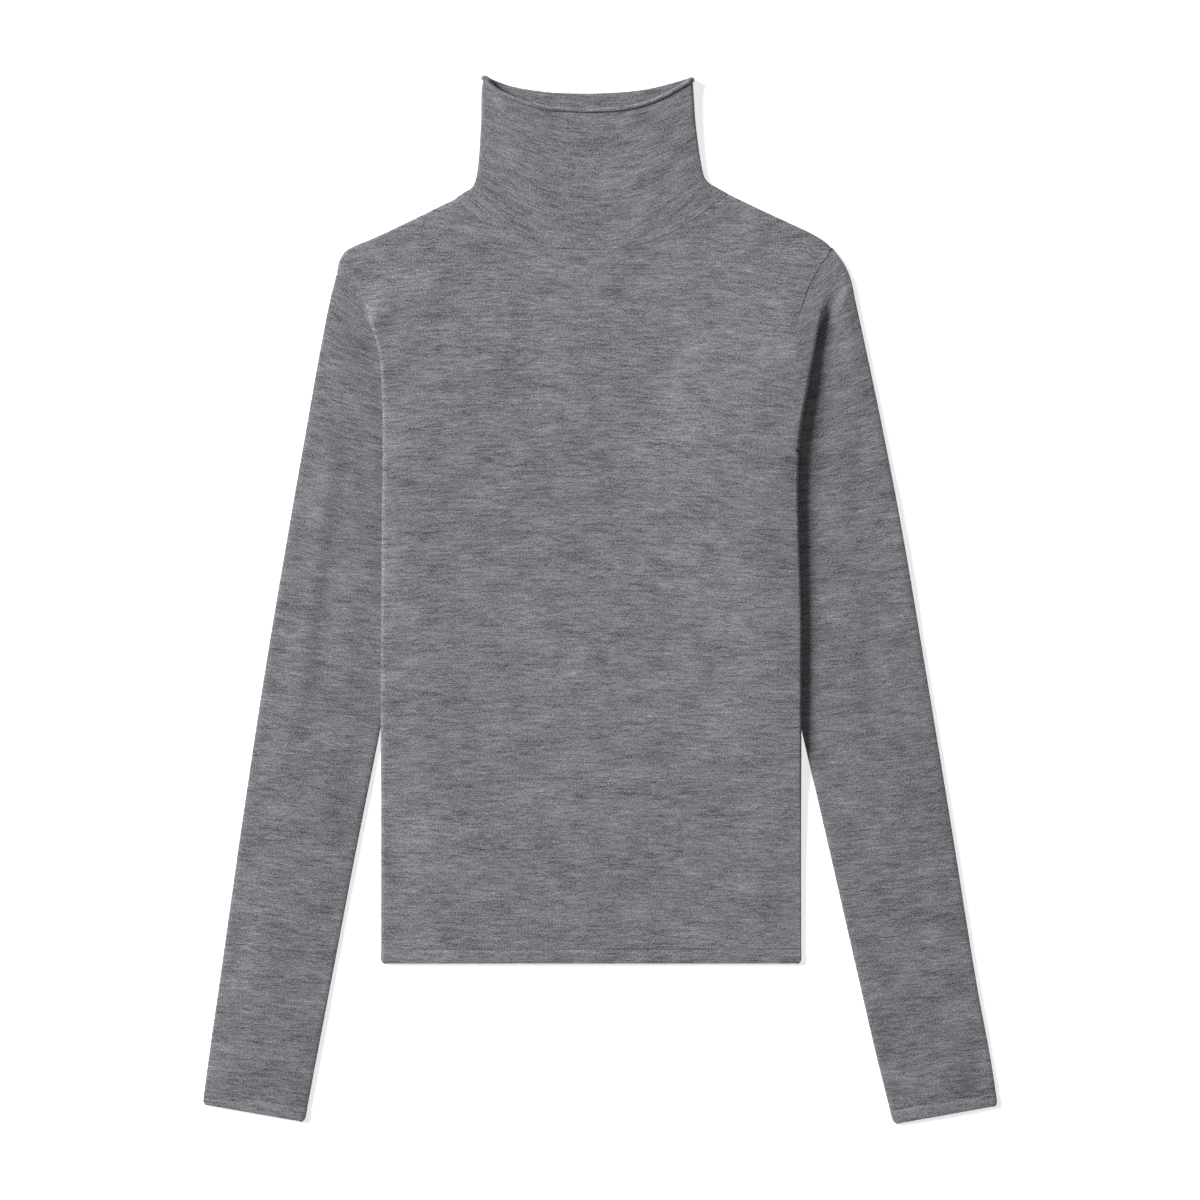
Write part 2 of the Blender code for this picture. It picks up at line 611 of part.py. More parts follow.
def collar_row(height):
    """One ring of the collar: front layer left to right, right fold, back layer, left fold."""
    radius = collar_fold_radius(height)
    back_z = Z_BACK + COLLAR_RISE * smooth((height - RISE_START) / (1 - RISE_START))
    front_z = back_z + 2 * radius
    sag = COLLAR_SAG * smooth(height)
    points = []
    for across in COLLAR_ACROSS:
        x, y = collar_point("front", across, height)
        points.append((x, y, front_z - sag * math.sin(math.pi * across)))
    left = float(COLLAR_SIDES.at("left_x", height)) + WALL / 2
    right = float(COLLAR_SIDES.at("right_x", height)) - WALL / 2
    bends = {}
    for name, edge, out in (("right", right, 1), ("left", left, -1)):
        across = 1.0 if name == "right" else 0.0
        y = collar_point("front", across, height)[1]
        angles = np.linspace(math.pi / 2, -math.pi / 2, BEND_STEPS + 1)
        bends[name] = [(edge - out * radius * (1 - math.cos(a)), y, back_z + radius * (1 + math.sin(a)))
                       for a in angles]
    back = [(*collar_point("back", across, height), back_z) for across in COLLAR_ACROSS[::-1]]
    return np.array(points + bends["right"] + back + bends["left"][::-1])


def collar_grid():
    """Middle surface of the funnel collar, a closed ring in every row."""
    rows = np.array([collar_row(height) for height in COLLAR_LEVELS])
    along = np.diff(rows[0], axis=0, append=rows[0][:1])
    steep = np.linalg.norm(along[:, :2], axis=1) / np.maximum(np.abs(along[:, 0]), 0.01)
    steep = np.maximum(steep, np.roll(steep, 1))
    rows[0, :, 1] += SLANT_GAP * np.minimum(steep ** 2, STEEPEST)
    return rows


def edge_grid():
    """Skin of the rolled edge: an oval carried round the top of the collar."""
    ring = collar_row(1.0)
    after = np.roll(ring, -1, axis=0)
    before = np.roll(ring, 1, axis=0)
    along = after - before
    along /= np.linalg.norm(along, axis=1, keepdims=True)
    up = np.array([0.0, 1.0, 0.0]) - along * along[:, 1:2]
    up /= np.linalg.norm(up, axis=1, keepdims=True)
    out = np.cross(along, up)
    lift = ROLL_HALF_HEIGHT + SEAM_GAP
    rows = []
    for angle in np.linspace(0, 2 * math.pi, 7)[:-1]:
        off = up * (lift + ROLL_HALF_HEIGHT * math.sin(angle)) + out * ROLL_HALF_DEPTH * math.cos(angle)
        rows.append(ring + off)
    return np.array(rows)


# ---------------------------------------------------------------- meshes

def knit_material(name, colour, roughness=0.9):
    """A dull knitted cloth of one colour."""
    material = bpy.data.materials.new(name)
    material.use_nodes = True
    shader = material.node_tree.nodes["Principled BSDF"]
    shader.inputs["Base Color"].default_value = (*colour, 1)
    shader.inputs["Roughness"].default_value = roughness
    shader.inputs["Metallic"].default_value = 0.0
    material.diffuse_color = (*colour, 1)
    return material


def add_grid(bm, grid, ring_columns=False, ring_rows=False):
    """Add a grid of points, given in millimetres, with a face in each of its cells."""
    verts = [[bm.verts.new(np.array(point) * MM) for point in row] for row in grid]
    rows, columns = len(verts), len(verts[0])
    for i in range(rows if ring_rows else rows - 1):
        for j in range(columns if ring_columns else columns - 1):
            down, across = (i + 1) % rows, (j + 1) % columns
            bm.faces.new((verts[i][j], verts[i][across], verts[down][across], verts[down][j]))


def sheet(name, grids, material, wall=WALL, ring_columns=False):
    """A knitted piece: its middle surface, welded from its grids and thickened to a wall."""
    bm = bmesh.new()
    for grid in grids:
        add_grid(bm, grid, ring_columns)
    bmesh.ops.remove_doubles(bm, verts=bm.verts, dist=0.00002)
    bmesh.ops.recalc_face_normals(bm, faces=bm.faces)
    obj = finish(name, bm, material)
    solidify = obj.modifiers.new("Wall", "SOLIDIFY")
    solidify.thickness = wall * MM
    solidify.offset = 0.0
    solidify.use_even_offset = False
    solidify.use_rim = True
    return obj


def solid(name, grid, material):
    """A closed piece whose skin runs round in both directions."""
    bm = bmesh.new()
    add_grid(bm, grid, ring_columns=True, ring_rows=True)
    bmesh.ops.recalc_face_normals(bm, faces=bm.faces)
    return finish(name, bm, material)


def finish(name, bm, material):
    """Turn a bmesh into an object of the sweater."""
    mesh = bpy.data.meshes.new(name)
    bm.to_mesh(mesh)
    bm.free()
    mesh.materials.append(material)
    mesh.shade_smooth()
    obj = bpy.data.objects.new(name, mesh)
    bpy.context.scene.collection.objects.link(obj)
    obj.parent = bpy.data.objects["sweater"]
    return obj


def clear_scene():
    """Start from an empty scene with the sweater's own empty."""
    for obj in list(bpy.data.objects):
        bpy.data.objects.remove(obj, do_unlink=True)
    root = bpy.data.objects.new("sweater", None)
    bpy.context.scene.collection.objects.link(root)


def build():
    """Make every piece of the sweater."""
    clear_scene()
    knit = knit_material("grey_melange_jersey", (0.192, 0.192, 0.205))
    band = knit_material("grey_melange_band", (0.200, 0.200, 0.213))
    front = front_grid()
    back = back_grids()
    sheet("front", [front], knit)
    sheet("back", back, knit)
    for side in ("left", "right"):
        sheet("sleeve_" + side, sleeve_grids(side), knit)
        sheet("cuff_" + side, [cuff_grid(side)], band, BAND_WALL)
    low_back = np.vstack((back[1][0][:-1], back[0][0], back[2][0][:-1][::-1]))
    sheet("hem_front", [hem_grid(front[0], True)], band, BAND_WALL)
    sheet("hem_back", [hem_grid(low_back, False)], band, BAND_WALL)
    sheet("collar", [collar_grid()], knit, WALL, ring_columns=True)
    solid("collar_edge", edge_grid(), band)


build()
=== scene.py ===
"""Looks of a fine-knit turtleneck sweater that lies flat on its back.

Each cloth piece is a thin shell with the form of its solid: a middle surface traced from
sections, with the listed creases laid in, and a wall made by Solidify. X runs across the body,
Y from the hem to the neck, Z up from the floor. Sizes of the cloth's form are in millimetres.
"""

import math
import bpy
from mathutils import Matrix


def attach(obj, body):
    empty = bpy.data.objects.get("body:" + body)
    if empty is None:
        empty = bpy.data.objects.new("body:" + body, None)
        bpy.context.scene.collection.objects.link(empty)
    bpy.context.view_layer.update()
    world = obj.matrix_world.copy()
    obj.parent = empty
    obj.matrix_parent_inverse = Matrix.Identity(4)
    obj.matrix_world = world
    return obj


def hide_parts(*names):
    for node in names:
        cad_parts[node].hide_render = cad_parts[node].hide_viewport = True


bl_info = {
    "name": "Turtleneck Sweater",
    "version": (1, 0, 0),
    "blender": (4, 5, 0),
    "location": "View3D > Sidebar > Sweater",
    "description": "Builds the knitted pieces of a turtleneck sweater that lies flat",
    "category": "Add Mesh",
}

import bmesh
import bpy
import numpy as np
from bpy.props import FloatProperty, FloatVectorProperty, PointerProperty

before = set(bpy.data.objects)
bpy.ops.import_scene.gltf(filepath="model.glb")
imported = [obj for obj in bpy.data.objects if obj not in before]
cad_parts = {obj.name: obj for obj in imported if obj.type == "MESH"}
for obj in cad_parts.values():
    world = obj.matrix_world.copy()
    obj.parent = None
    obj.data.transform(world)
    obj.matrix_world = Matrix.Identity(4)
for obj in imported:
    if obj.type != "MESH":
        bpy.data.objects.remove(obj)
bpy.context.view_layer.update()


MM = 0.001                      # a millimetre in metres

# The map of the knit and the finish of the meshes
COURSE_MAP = "Courses"          # UV map: across the cloth and along it, in metres
SMOOTH_ANGLE = math.radians(55)
WELD = 0.02                     # points of joined grids that lie this close become one

# Layers, as heights of the middle of the cloth
WALL = 1.2
BAND_WALL = 1.5
ROLL_WALL = 0.8                 # the cloth is stretched thin where it rolls
Z_BACK = WALL / 2
Z_FRONT = 2.6
Z_TUCKED = 2.2                  # a sleeve's upper layer where the body presses on it
Z_OVER = 3.8                    # the layer that lies on a tucked sleeve

# Seams: small steps that bring the pieces' edges together
SEAM_GAP = 0.06
SLANT_GAP = 0.10
FOLD_GAP = 0.10
LIP_GAP = 0.45                  # between the front panel's lip and the left sleeve
SHUT_GAP = 0.01                 # the right armhole seam is shut low down
OPEN_GAP = 0.26                 # and opens by this much near the shoulder
OPEN_FROM = 214.0
OPEN_OVER = 12.0
STEEPEST_SEAM = 2.6             # slope up to which the neck seam's gap widens
LEAST_STEP = 0.01               # keeps the slope of an upright step finite

# Folds, and how far a pressed fold reaches sideways as a share of its round form
SIDE_REACH = {"left": 2.8, "right": 0.45}
PRESSED_REACH = 0.45
SLEEVE_RADIUS = 0.95
TUCK_RADIUS = 0.8
TUCK_SPREAD = 1.2               # a slight turn bends this much more slowly than a full fold
FULL_TURN = 150.0               # degrees from which a fold counts as full
LEAST_BEND = 0.2                # reach of the outer fold where the cap runs out
BEND_ROOM = 0.35                # share of the cap's width that the outer fold may take
SLIGHT_TURN = 60.0              # degrees below which a fold's end is fitted to the room it has
TAIL_SHARE = 0.7                # share of that room which the end may take
SHORTEST_STRIP = 0.6            # least width of cloth between a fold that shows and its seam
STRAIGHT_LIP = 1.0              # width of the front panel's edge where it isn't bent
SHOULDER_RADIUS = 1.0
CORNER = 3.5                    # radius of a band's corners, seen from above
CORNER_START = 3.4
RAMP = 15.0                     # over which the back panel comes down to the floor
CLEARANCE = 0.6                 # from what is tucked to where a panel may come down
LEAST_TUCK = 4.0                # least width taken as tucked, above the underarm
LEAST_COVER = 6.0               # and below it
LEAST_UNDER = 1.0               # least width of the sleeve's layer on the floor
FLAP_STOP = 1.4                 # where the flat of a flap ends before the main part

# Levels along the body
HEM_Y = -275.9
HEM_BAND = 10.0
FLAP_TOP_Y = 110.0              # top of the parts of the back that lie on the sleeves
UNDERARM_Y = 114.0
TIP_Y = {"left": 246.0, "right": 266.8}         # tops of the armhole seams
APEX_Y = -100.0                 # where a sleeve's inner edge comes out from under the body
COVER_FROM = APEX_Y - 55.0      # the body starts to rise over the sleeve
PRESS_FROM = APEX_Y - 60.0      # the sleeve starts to be pressed flat
COVER_OVER = 50.0               # both are complete after this length
CAP_TOP = -0.4                  # from the end of a cap to the top of its seam
CUFF_BAND = 9.5
MIDDLE_X = -6.8                 # middle of the body

# Mesh steps
BEND_STEPS = 8
TUCK_STEPS = 6
SIDE_SHARES = (0.2, 0.4, 0.6, 0.8, 1.0)
RAMP_SHARES = (0.2, 0.4, 0.6, 0.8, 1.0)
SHOULDER_COLUMNS = 12
COLLAR_COLUMNS = 52
COLLAR_ROWS = 30
COLLAR_CROWDING = 1.15          # the collar's rows lie closer together at the neck line
UPPER_STEPS = 26
SHOULDER_STEPS = 4
EDGE_FADE_STEPS = BEND_STEPS + 3    # columns over which creases fade towards a bent edge
ROW_CROWDING = 1.4              # rows lie closer together above the underarm
GROOVE_STEPS = np.array((0.0, 0.7, 1.5, 2.5))   # rows in the groove beside a band
GROOVE_END = 4.0                # where the even rows begin
BAND_TOP_STEPS = (0.0, 0.7, 1.4, 2.4)           # rows down from a band's seam
BAND_END_STEPS = (2.6, 1.9, 1.3, 0.8, 0.4, 0.1, 0.0)    # rows round its corners


class Table:
    """Sizes in named columns, read smoothly along the first column."""

    def __init__(self, columns, rows):
        data = np.array(sorted(rows), float).T
        self.key = data[0]
        self.values = dict(zip(columns.split()[1:], data[1:]))

    def at(self, column, place):
        """Monotone cubic through the rows, so that nothing overshoots the given sizes."""
        key, value = self.key, self.values[column]
        gap = np.diff(key)
        slope = np.diff(value) / gap
        bend = np.concatenate(([slope[0]], np.zeros(len(key) - 2), [slope[-1]]))
        same = slope[:-1] * slope[1:] > 0
        pair = np.where(same, slope[:-1] + slope[1:], 1)
        bend[1:-1] = np.where(same, 2 * slope[:-1] * slope[1:] / pair, 0)
        place = np.clip(place, key[0], key[-1])
        i = np.clip(np.searchsorted(key, place) - 1, 0, len(key) - 2)
        t = (place - key[i]) / gap[i]
        rise = value[i + 1] - value[i]
        first = gap[i] * bend[i]
        last = gap[i] * bend[i + 1]
        curve = t * t * (3 * rise - 2 * first - last) + t ** 3 * (first + last - 2 * rise)
        return value[i] + t * first + curve


# Outline of the front panel: its side folds, and above the underarm its armhole seams. The edge
# steps in at the right underarm, where the sleeve's own fold comes between.
BODY_EDGE = {
    "left": Table("y x", [
        (-275.9, -166.4), (-100, -166.4), (30, -165.6), (139, -164.9), (173, -166.0), (191, -168.4),
        (214, -175.7), (222, -178.4), (236, -187.9), (246, -200.6)]),
    "right": Table("y x", [
        (-275.9, 152.8), (-14, 152.8), (33, 151.5), (80, 150.3), (113.9, 150.9), (114, 148.1),
        (139, 147.7), (157, 147.4), (174, 148.2), (210, 149.7), (226, 154.3), (239, 158.8),
        (254, 167.2), (266.8, 176.3)]),
}
# The back panel's armholes, which lie hidden under the sleeves
BACK_ARMHOLE = {
    "left": Table("y x", [
        (114, -115.0), (135, -127), (160, -142), (190, -160), (214, -174), (236, -187.9),
        (246, -200.6)]),
    "right": Table("y x", [
        (114, 93.1), (135, 103), (160, 117), (190, 134), (214, 147), (239, 158.8), (254, 167.2),
        (266.8, 176.3)]),
}
# Outer and inner folds of the sleeves
SLEEVE_OUTER = {
    "left": Table("y x", [
        (249, -200.0), (243, -201.3), (238, -202.6), (229, -204.9), (186, -213.3), (129, -223.4),
        (53, -236.7), (-61, -255.7), (-175, -272.8), (-289, -288.9), (-365, -299.6), (-384, -301.8)]),
    "right": Table("y x", [
        (266.8, 176.6), (262, 180.5), (254, 186.1), (242, 191.0), (229, 193.7), (186, 203.0),
        (129, 214.9), (53, 229.4), (-61, 248.7), (-175, 267.4), (-289, 285.7), (-365, 299.4),
        (-384, 301.8)]),
}
SLEEVE_INNER = {
    "left": Table("y x", [
        (114, -115.5), (60, -132.0), (-20, -151.0), (-118, -170.8), (-194, -186.0), (-270, -200.4),
        (-346, -214.9), (-397, -224.4)]),
    "right": Table("y x", [
        (114, 93.6), (60, 111.0), (-20, 134.0), (-118, 157.5), (-194, 175.0), (-270, 192.3),
        (-346, 209.8), (-398, 222.9)]),
}
CUFF_Y = {"left": (-383.1, -395.8), "right": (-384.2, -397.5)}

# How a sleeve folds under beside the armhole seam: the turn of each bend in degrees, the radius
# of the fold that shows, and the cloth tucked between the two bends
FOLD = {
    "left": Table("y turn radius tuck", [
        (114, 180, 1.3, 44), (135, 180, 1.3, 35), (160, 180, 1.3, 23), (180, 180, 1.3, 12),
        (193, 176, 1.2, 4), (202, 150, 1.2, 1), (209, 95, 1.1, 1), (216, 42, 1.0, 1), (224, 10, 1.0, 1),
        (236, 1, 1.0, 1), (249, 0, 1.0, 1)]),
    "right": Table("y turn radius tuck", [
        (114, 180, 3.7, 53), (135, 180, 3.7, 45), (160, 180, 3.5, 32), (182, 180, 2.9, 14),
        (193, 176, 2.3, 5), (202, 148, 1.9, 1), (211, 96, 1.7, 1), (219, 48, 1.7, 1), (227, 18, 1.9, 1),
        (238, 4, 2.2, 1), (252, 0, 2.5, 1), (266.8, 0, 2.5, 1)]),
}

# How high the front panel lies, and how it comes down past what is tucked behind it
FRONT_LIFT = Table("y rise", [
    (-276, 0.3), (-200, 0.9), (-130, 2.2), (-60, 3.0), (120, 3.0), (160, 2.5), (200, 1.4), (235, 0.4),
    (255, 0.1), (275, 0)])
RAMP_BLEND = Table("y share", [(-276, 0.6), (-100, 1), (150, 1), (200, 0.6), (230, 0.2), (266, 0)])
EDGE_REACH = 26.0               # how far from its edge a panel still follows the edge's height
RAMP_REACH = 80.0               # how far the front panel takes to come down past a tucked sleeve
DROP_REACH = 8.0                # how far from its edge a panel's drop is felt
# A panel's edge lies lower than the cloth beside it, or higher where the value is negative
EDGE_DROP = {
    "left": Table("y drop", [(-276, 0.5), (185, 0.5), (210, 0.15), (235, 0)]),
    "right": Table("y drop", [(-276, 0), (211, 0), (224, -0.42), (262, -0.42), (275, 0)]),
}
# Radius of the side folds, and the outer line of the fold beside the right armhole seam
SIDE_FOLD = {
    "left": Table("y radius", [(-276, 1.2), (-180, 1.25), (114, 1.3)]),
    "right": Table("y radius", [(-276, 1.2), (-210, 1.3), (-130, 2.2), (0, 2.9), (114, 3.7)]),
}
STRIP_FOLD = Table("y x", [
    (114, 151.1), (121, 151.6), (130, 152.6), (138, 153.6), (152, 156.3), (169, 159.3), (185, 162.1),
    (204, 165.6), (222, 169.0), (243, 173.5), (266.8, 180.0)])

# Top of both panels, left to right by share of the width; the neck line lies between two shares
SHOULDERS = Table("share x y", [
    (0, -200.6, 246), (0.01, -200.3, 252.2), (0.02, -198.5, 258.4), (0.035, -194.4, 264.8),
    (0.05, -188.9, 268.2), (0.07, -180.5, 271.4), (0.10, -168.6, 276.6), (0.15, -150.0, 285.4),
    (0.20, -129.7, 295.3), (0.25, -109.4, 305.4), (0.26, -105.3, 307.5), (0.74, 93.2, 310.4),
    (0.75, 97.3, 308.4), (0.80, 118.2, 298.3), (0.86, 139.0, 288.6), (0.94, 163.5, 276.9),
    (0.975, 171.8, 271.4), (1, 176.3, 266.8)])
NECK_SHARES = (0.25, 0.75)
# Side folds of the collar by share of its height, and its neck lines and top edges by share of
# its width
COLLAR_SIDES = Table("height left_x left_y right_x right_y", [
    (0, -109.4, 305.2, 97.3, 308.0), (0.04, -103.0, 309.4, 90.5, 312.0),
    (0.09, -97.2, 313.2, 84.0, 315.4), (0.17, -94.2, 320.7, 79.4, 320.9),
    (0.30, -92.4, 333.0, 76.8, 331.6), (0.48, -91.3, 349.0, 74.2, 349.0),
    (0.68, -90.4, 367.0, 72.2, 367.0), (0.88, -90.2, 385.0, 71.1, 385.0),
    (1, -88.8, 395.4, 70.4, 394.0)])
COLLAR_LINES = Table("across front_low back_low front_top back_top", [
    (0, 305.2, 305.2, 395.4, 395.4), (0.06, 291.5, 302.6, 386.2, 391.0),
    (0.14, 283.5, 299.5, 379.6, 386.8), (0.26, 272.5, 296.6, 374.0, 383.6),
    (0.36, 267.5, 295.0, 371.6, 382.0), (0.50, 265.8, 294.5, 370.8, 381.6),
    (0.66, 269.0, 295.4, 372.0, 382.6), (0.78, 278.0, 297.6, 376.2, 384.8),
    (0.87, 289.0, 300.6, 382.0, 388.0), (0.94, 299.0, 304.4, 388.2, 391.2),
    (1, 308.0, 308.0, 394.0, 394.0)])

# How the courses of the knit run: their slope on the sleeves in degrees, rising outward, how far
# the body's dip under the neck, and how they bow on the body and curve on the collar
SLEEVE_COURSES = Table("y slope", [
    (-400, 5), (0, 5.5), (60, 8), (100, 12), (140, 15), (170, 19), (195, 26), (230, 33), (270, 36)])
NECK_DIP = Table("y dip", [(-400, 0), (225, 0), (255, 7), (275, 15), (300, 22), (420, 22)])
NECK_DIP_WIDTH = 52.0           # how far from the middle the courses dip under the collar
NECK_DIP_RETURN = 0.22          # share by which they rise again further out
BODY_BOW = Table("y bow", [(-400, 0), (-80, 0), (60, 0.00024), (230, 0.00028), (330, 0.00010)])
COLLAR_SMILE = Table("y curve", [(270, 0.0034), (310, 0.0042), (350, 0.0040), (400, 0.0030)])

# Creases of the upper layer: x0, y0, x1, y1, bow, width and rise. Each is a line with a bow to the
# left of its way, a width over which it fades and a rise, which is negative for a trough.
BODY_CREASES = [
    (-192, 256, -178, 230, 2, 3.4, 0.22),
    (-176, 214, -164, 220, 0, 1.6, -0.40),
    (-150, 150, -158, -20, 4, 9, 0.35),
    (-148, -120, -150, -250, -3, 12, -0.30),
    (-128, -110, -134, -262, 4, 12, 0.30),
    (-2, -150, 2, -270, 2, 16, 0.28),
    (26, -170, 30, -262, -2, 12, -0.22),
    (128, -140, 140, -268, -4, 11, 0.30),
    (142, -210, 149, -270, 2, 8, -0.28),
    (40, 300, 20, 215, 6, 16, -0.28),
    (-52, 262, -20, 190, -4, 18, 0.30),
    (-110, 262, -150, 205, -6, 14, 0.35),
    (-96, 230, -140, 150, -5, 14, -0.25),
    (112, 268, 140, 215, 5, 14, -0.28),
    (96, 240, 132, 160, 6, 14, 0.28),
    (-60, 90, -30, -30, 6, 22, 0.25),
    (70, 60, 84, -90, -6, 22, 0.25),
    (10, 150, 24, 40, 4, 20, -0.22),
]
NECK_CREASES = [
    (-91, 311, -49, 301.5, -3, 3.2, -0.30),
    (-88, 304, -52, 295, -3, 4.0, 0.30),
    (-87, 389, -78, 369, 1.5, 2.6, -0.35),
    (-81, 388, -72, 366, 1.5, 3.4, 0.30),
    (60, 390, 67, 379, 1.2, 2.2, -0.40),
    (56, 386, 62, 376, 1.0, 2.6, 0.25),
    (-84, 296, -62, 283, -3, 6, -0.30),
    (-20, 372, -26, 300, 3, 16, 0.25),
    (30, 368, 36, 296, -3, 18, 0.22),
    (70, 322, 58, 300, 2, 6, 0.22),
]
SLEEVE_CREASES = {
    "left": [
        (-203, 244, -186, 222, 3, 3.4, -0.35),
        (-206, 120, -222, -20, 3, 8, 0.75),
        (-222, -20, -247, -140, 3, 9, 0.65),
        (-196, 96, -214, -96, -5, 7, -0.40),
        (-183, 30, -196, -150, -4, 9, 0.40),
        (-200, -66, -196, -200, 8, 10, -0.40),
        (-196, -200, -214, -310, 3, 10, -0.35),
        (-240, -170, -262, -320, -4, 12, 0.45),
        (-286, -340, -246, -356, -2, 10, 0.35),
        (-290, -366, -248, -372, -1, 4.5, -0.45),
        (-226, -330, -240, -392, 2, 7, 0.35),
    ],
    "right": [
        (186, 250, 196, 170, -3, 7, 0.60),
        (204, 156, 200, 36, -4, 7, -0.50),
        (200, 36, 224, -180, -6, 8, -0.45),
        (216, 104, 236, -20, 4, 9, 0.60),
        (190, 60, 196, -60, 4, 8, 0.35),
        (214, -110, 236, -240, 4, 10, 0.40),
        (252, -180, 268, -300, -3, 10, 0.45),
        (240, -230, 258, -330, 4, 10, -0.35),
        (290, -330, 284, -372, 2, 7, -0.50),
        (262, -356, 268, -392, 1, 8, 0.35),
        (240, -362, 232, -394, 1, 7, -0.30),
    ],
}
CREASE_FADE = 0.35              # share of its length over which a crease fades at each end
CREASE_REST = 0.25              # and what is left of it at its very end

# How full the upper layers lie between their edges, and where the fullness and creases fade
BODY_SWELL = 0.45
BODY_SWELL_HALF = 150.0         # from the middle of the body to the end of its fullness
BODY_SWELL_LOW = 0.4            # share of it at the hem
BODY_SWELL_UP = 60.0            # height over the hem at which it is complete
SLEEVE_SWELL = 0.70
SWELL_LEAN = 0.8                # the fullest line lies nearer to the outer edge
SWELL_SHARPNESS = 1.5
UPPER_LEVEL = 1.0               # over the lowest layer; above it the cloth is an upper layer
SLEEVE_UPPER_LEVEL = 0.7
BODY_FADE = 7.0                 # beside the body's edge, which presses the sleeve flat
APEX_FADE = 30.0
TIP_FADE = 25.0                 # below the tip of the cap
SEAM_FADE_FROM = 175.0          # level from which the fullness fades towards the seam
SEAM_FADE_OVER = 25.0
SEAM_FADE = 7.0
NECK_X = (-105.0, 93.0)         # between these the creases run on to the neck line
NECK_FADE = 8.0
NECK_CORNER = 4.0               # over which a shoulder's bend gives way to the neck line
LANDING = 30.0                  # below the underarm, over which the back comes down

# Turned bands and the cloth beside them
GROOVE_DEPTH = 0.45             # to which the cloth is drawn in
GROOVE_WIDTH = 1.3
BAND_FULLNESS = 0.2
BAND_PINCH = 0.3                # a band is thin at its seam
BAND_PINCH_WIDTH = 1.1

# Collar: its folds open towards the top, where the back layer lifts and the front one sags
COLLAR_RADIUS = 1.0
COLLAR_OPENING = 1.7
COLLAR_SAG = 1.6
COLLAR_LIFT = 1.1
COLLAR_LIFT_FROM = 0.82         # share of the collar's height
COLLAR_LIFT_OVER = 0.18
FOLD_SHARE = 0.2                # of the way up a fold, up to which no crease shows
COLLAR_FADE = 0.15              # share of it over which the creases fade below the top edge
COLLAR_REST = 0.3               # and what is left of them there
ROLL_TURN = (180, -125)         # degrees through which its edge curls outward
ROLL_STEPS = 22
ROLL_THIN = 0.5                 # half the roll's depth on the back layer
ROLL_OVERLAP = 0.9              # how far the roll hangs over the front layer's edge
ROLL_INSET = 0.2
ROLL_FRONT_RISE = 4.0           # height at which the ring counts as the front layer

# Linking stitches: small ovals set aslant over a seam
STITCH_SIZE = (1.0, 0.38, 0.28)
STITCH_VARIATION = 0.1          # of the length, from one stitch to the next
STITCH_STEP = 2.4
STITCH_SLANT = math.radians(62)
ROUND_STEPS = 6
POLE_STEPS = 4
STITCH_LIFT = 0.05
ARMHOLE_LINKING = (228.0, 262.0)                # levels between which the right seam shows
NECK_LINKING = {"neck_left": (0.015, 0.20), "neck_right": (0.80, 0.985)}    # shares of the neck
NECK_SLOPE = 1.25               # the neck line's length there for its width

# The knit: seed of its flecks, a whole number so that all variants are alike, and lightness. The sleeves'
# variant is the same yarn made darker: painted shade that stands in for the shade on the sleeves
KNITS = {"melange_jersey": (0.0, 1.0), "melange_band": (7.0, 0.99), "melange_sleeve_painted_shade": (3.0, 0.94)}
FLECK_LENGTH = 0.0065           # metres
FLECK_HEIGHT = 0.001

# Streaks of the melange: place in the noise, length in flecks, height in courses and, where it
# isn't the usual one, the noise's detail and roughness
STREAKS = {
    "cloud": (3.7, 5.0, 14.0, 1.0),
    "flecks": (11.3, 1.0, 0.95),
    "grain": (31.1, 0.14, 1.0, 2.0, 0.7),
    "long": (47.9, 3.2, 1.3),
    "broad": (71.1, 2.2, 2.8),
    "pale": (23.9, 1.3, 1.1),
    "dark": (17.3, 0.7, 1.0),
    "tint": (59.3, 0.8, 1.3),
}
TONE_SHARES = {"flecks": 1.08, "grain": 3.8, "long": 0.9, "broad": 0.9}
CLOUD_TONE = 0.52
CLOUD_ON_FLECKS = 0.25          # the clouds gather pale flecks and part dark ones
FLECK_RANGE = (0.10, 0.26)      # noise that starts a fleck and noise that completes it
TINT_RANGE = (-0.16, 0.16)
FLECK_STRENGTH = 0.7
LEG_SLANT = 0.6                 # rise of a stitch's leg from the wale's middle, in courses
COLUMN_DEPTH = 0.7              # share of the relief that the wales have
COLUMN_BASE = 0.3
KNIT_ROUGHNESS = 0.97           # between the stitches
TOP_ROUGHNESS = -0.08           # what is added on top of them
BUMP_STRENGTH = 0.6
YARN_GRAIN = (900.0, 900.0, 900.0)              # grains to a metre
YARN_SHADES = (0.72, 1.15)      # of the cloth's colour
YARN_RANGE = (0.3, 0.7)         # noise of the darker and of the lighter shade

# Stage, in metres: place, size and colour of each lamp
LAMPS = {
    "key": ((-7.8, 3.6, 4.9), (3.6, 3.6), (1.0, 0.998, 0.992)),
    "overhead": ((0.2, 0.4, 5.5), (5.0, 5.0), (0.99, 0.995, 1.0)),
    "side": ((7.5, 0.6, 1.3), (4.0, 1.6), (0.99, 0.995, 1.0)),
}
SIDE_LAMP_SHARE = 2.4           # power of the side lamp for that of the overhead one
FLOOR_SIZE = 8.0
FLOOR_Z = -0.0002
SENSOR_WIDTH = 36.0             # millimetres


# ---------------------------------------------------------------- settings

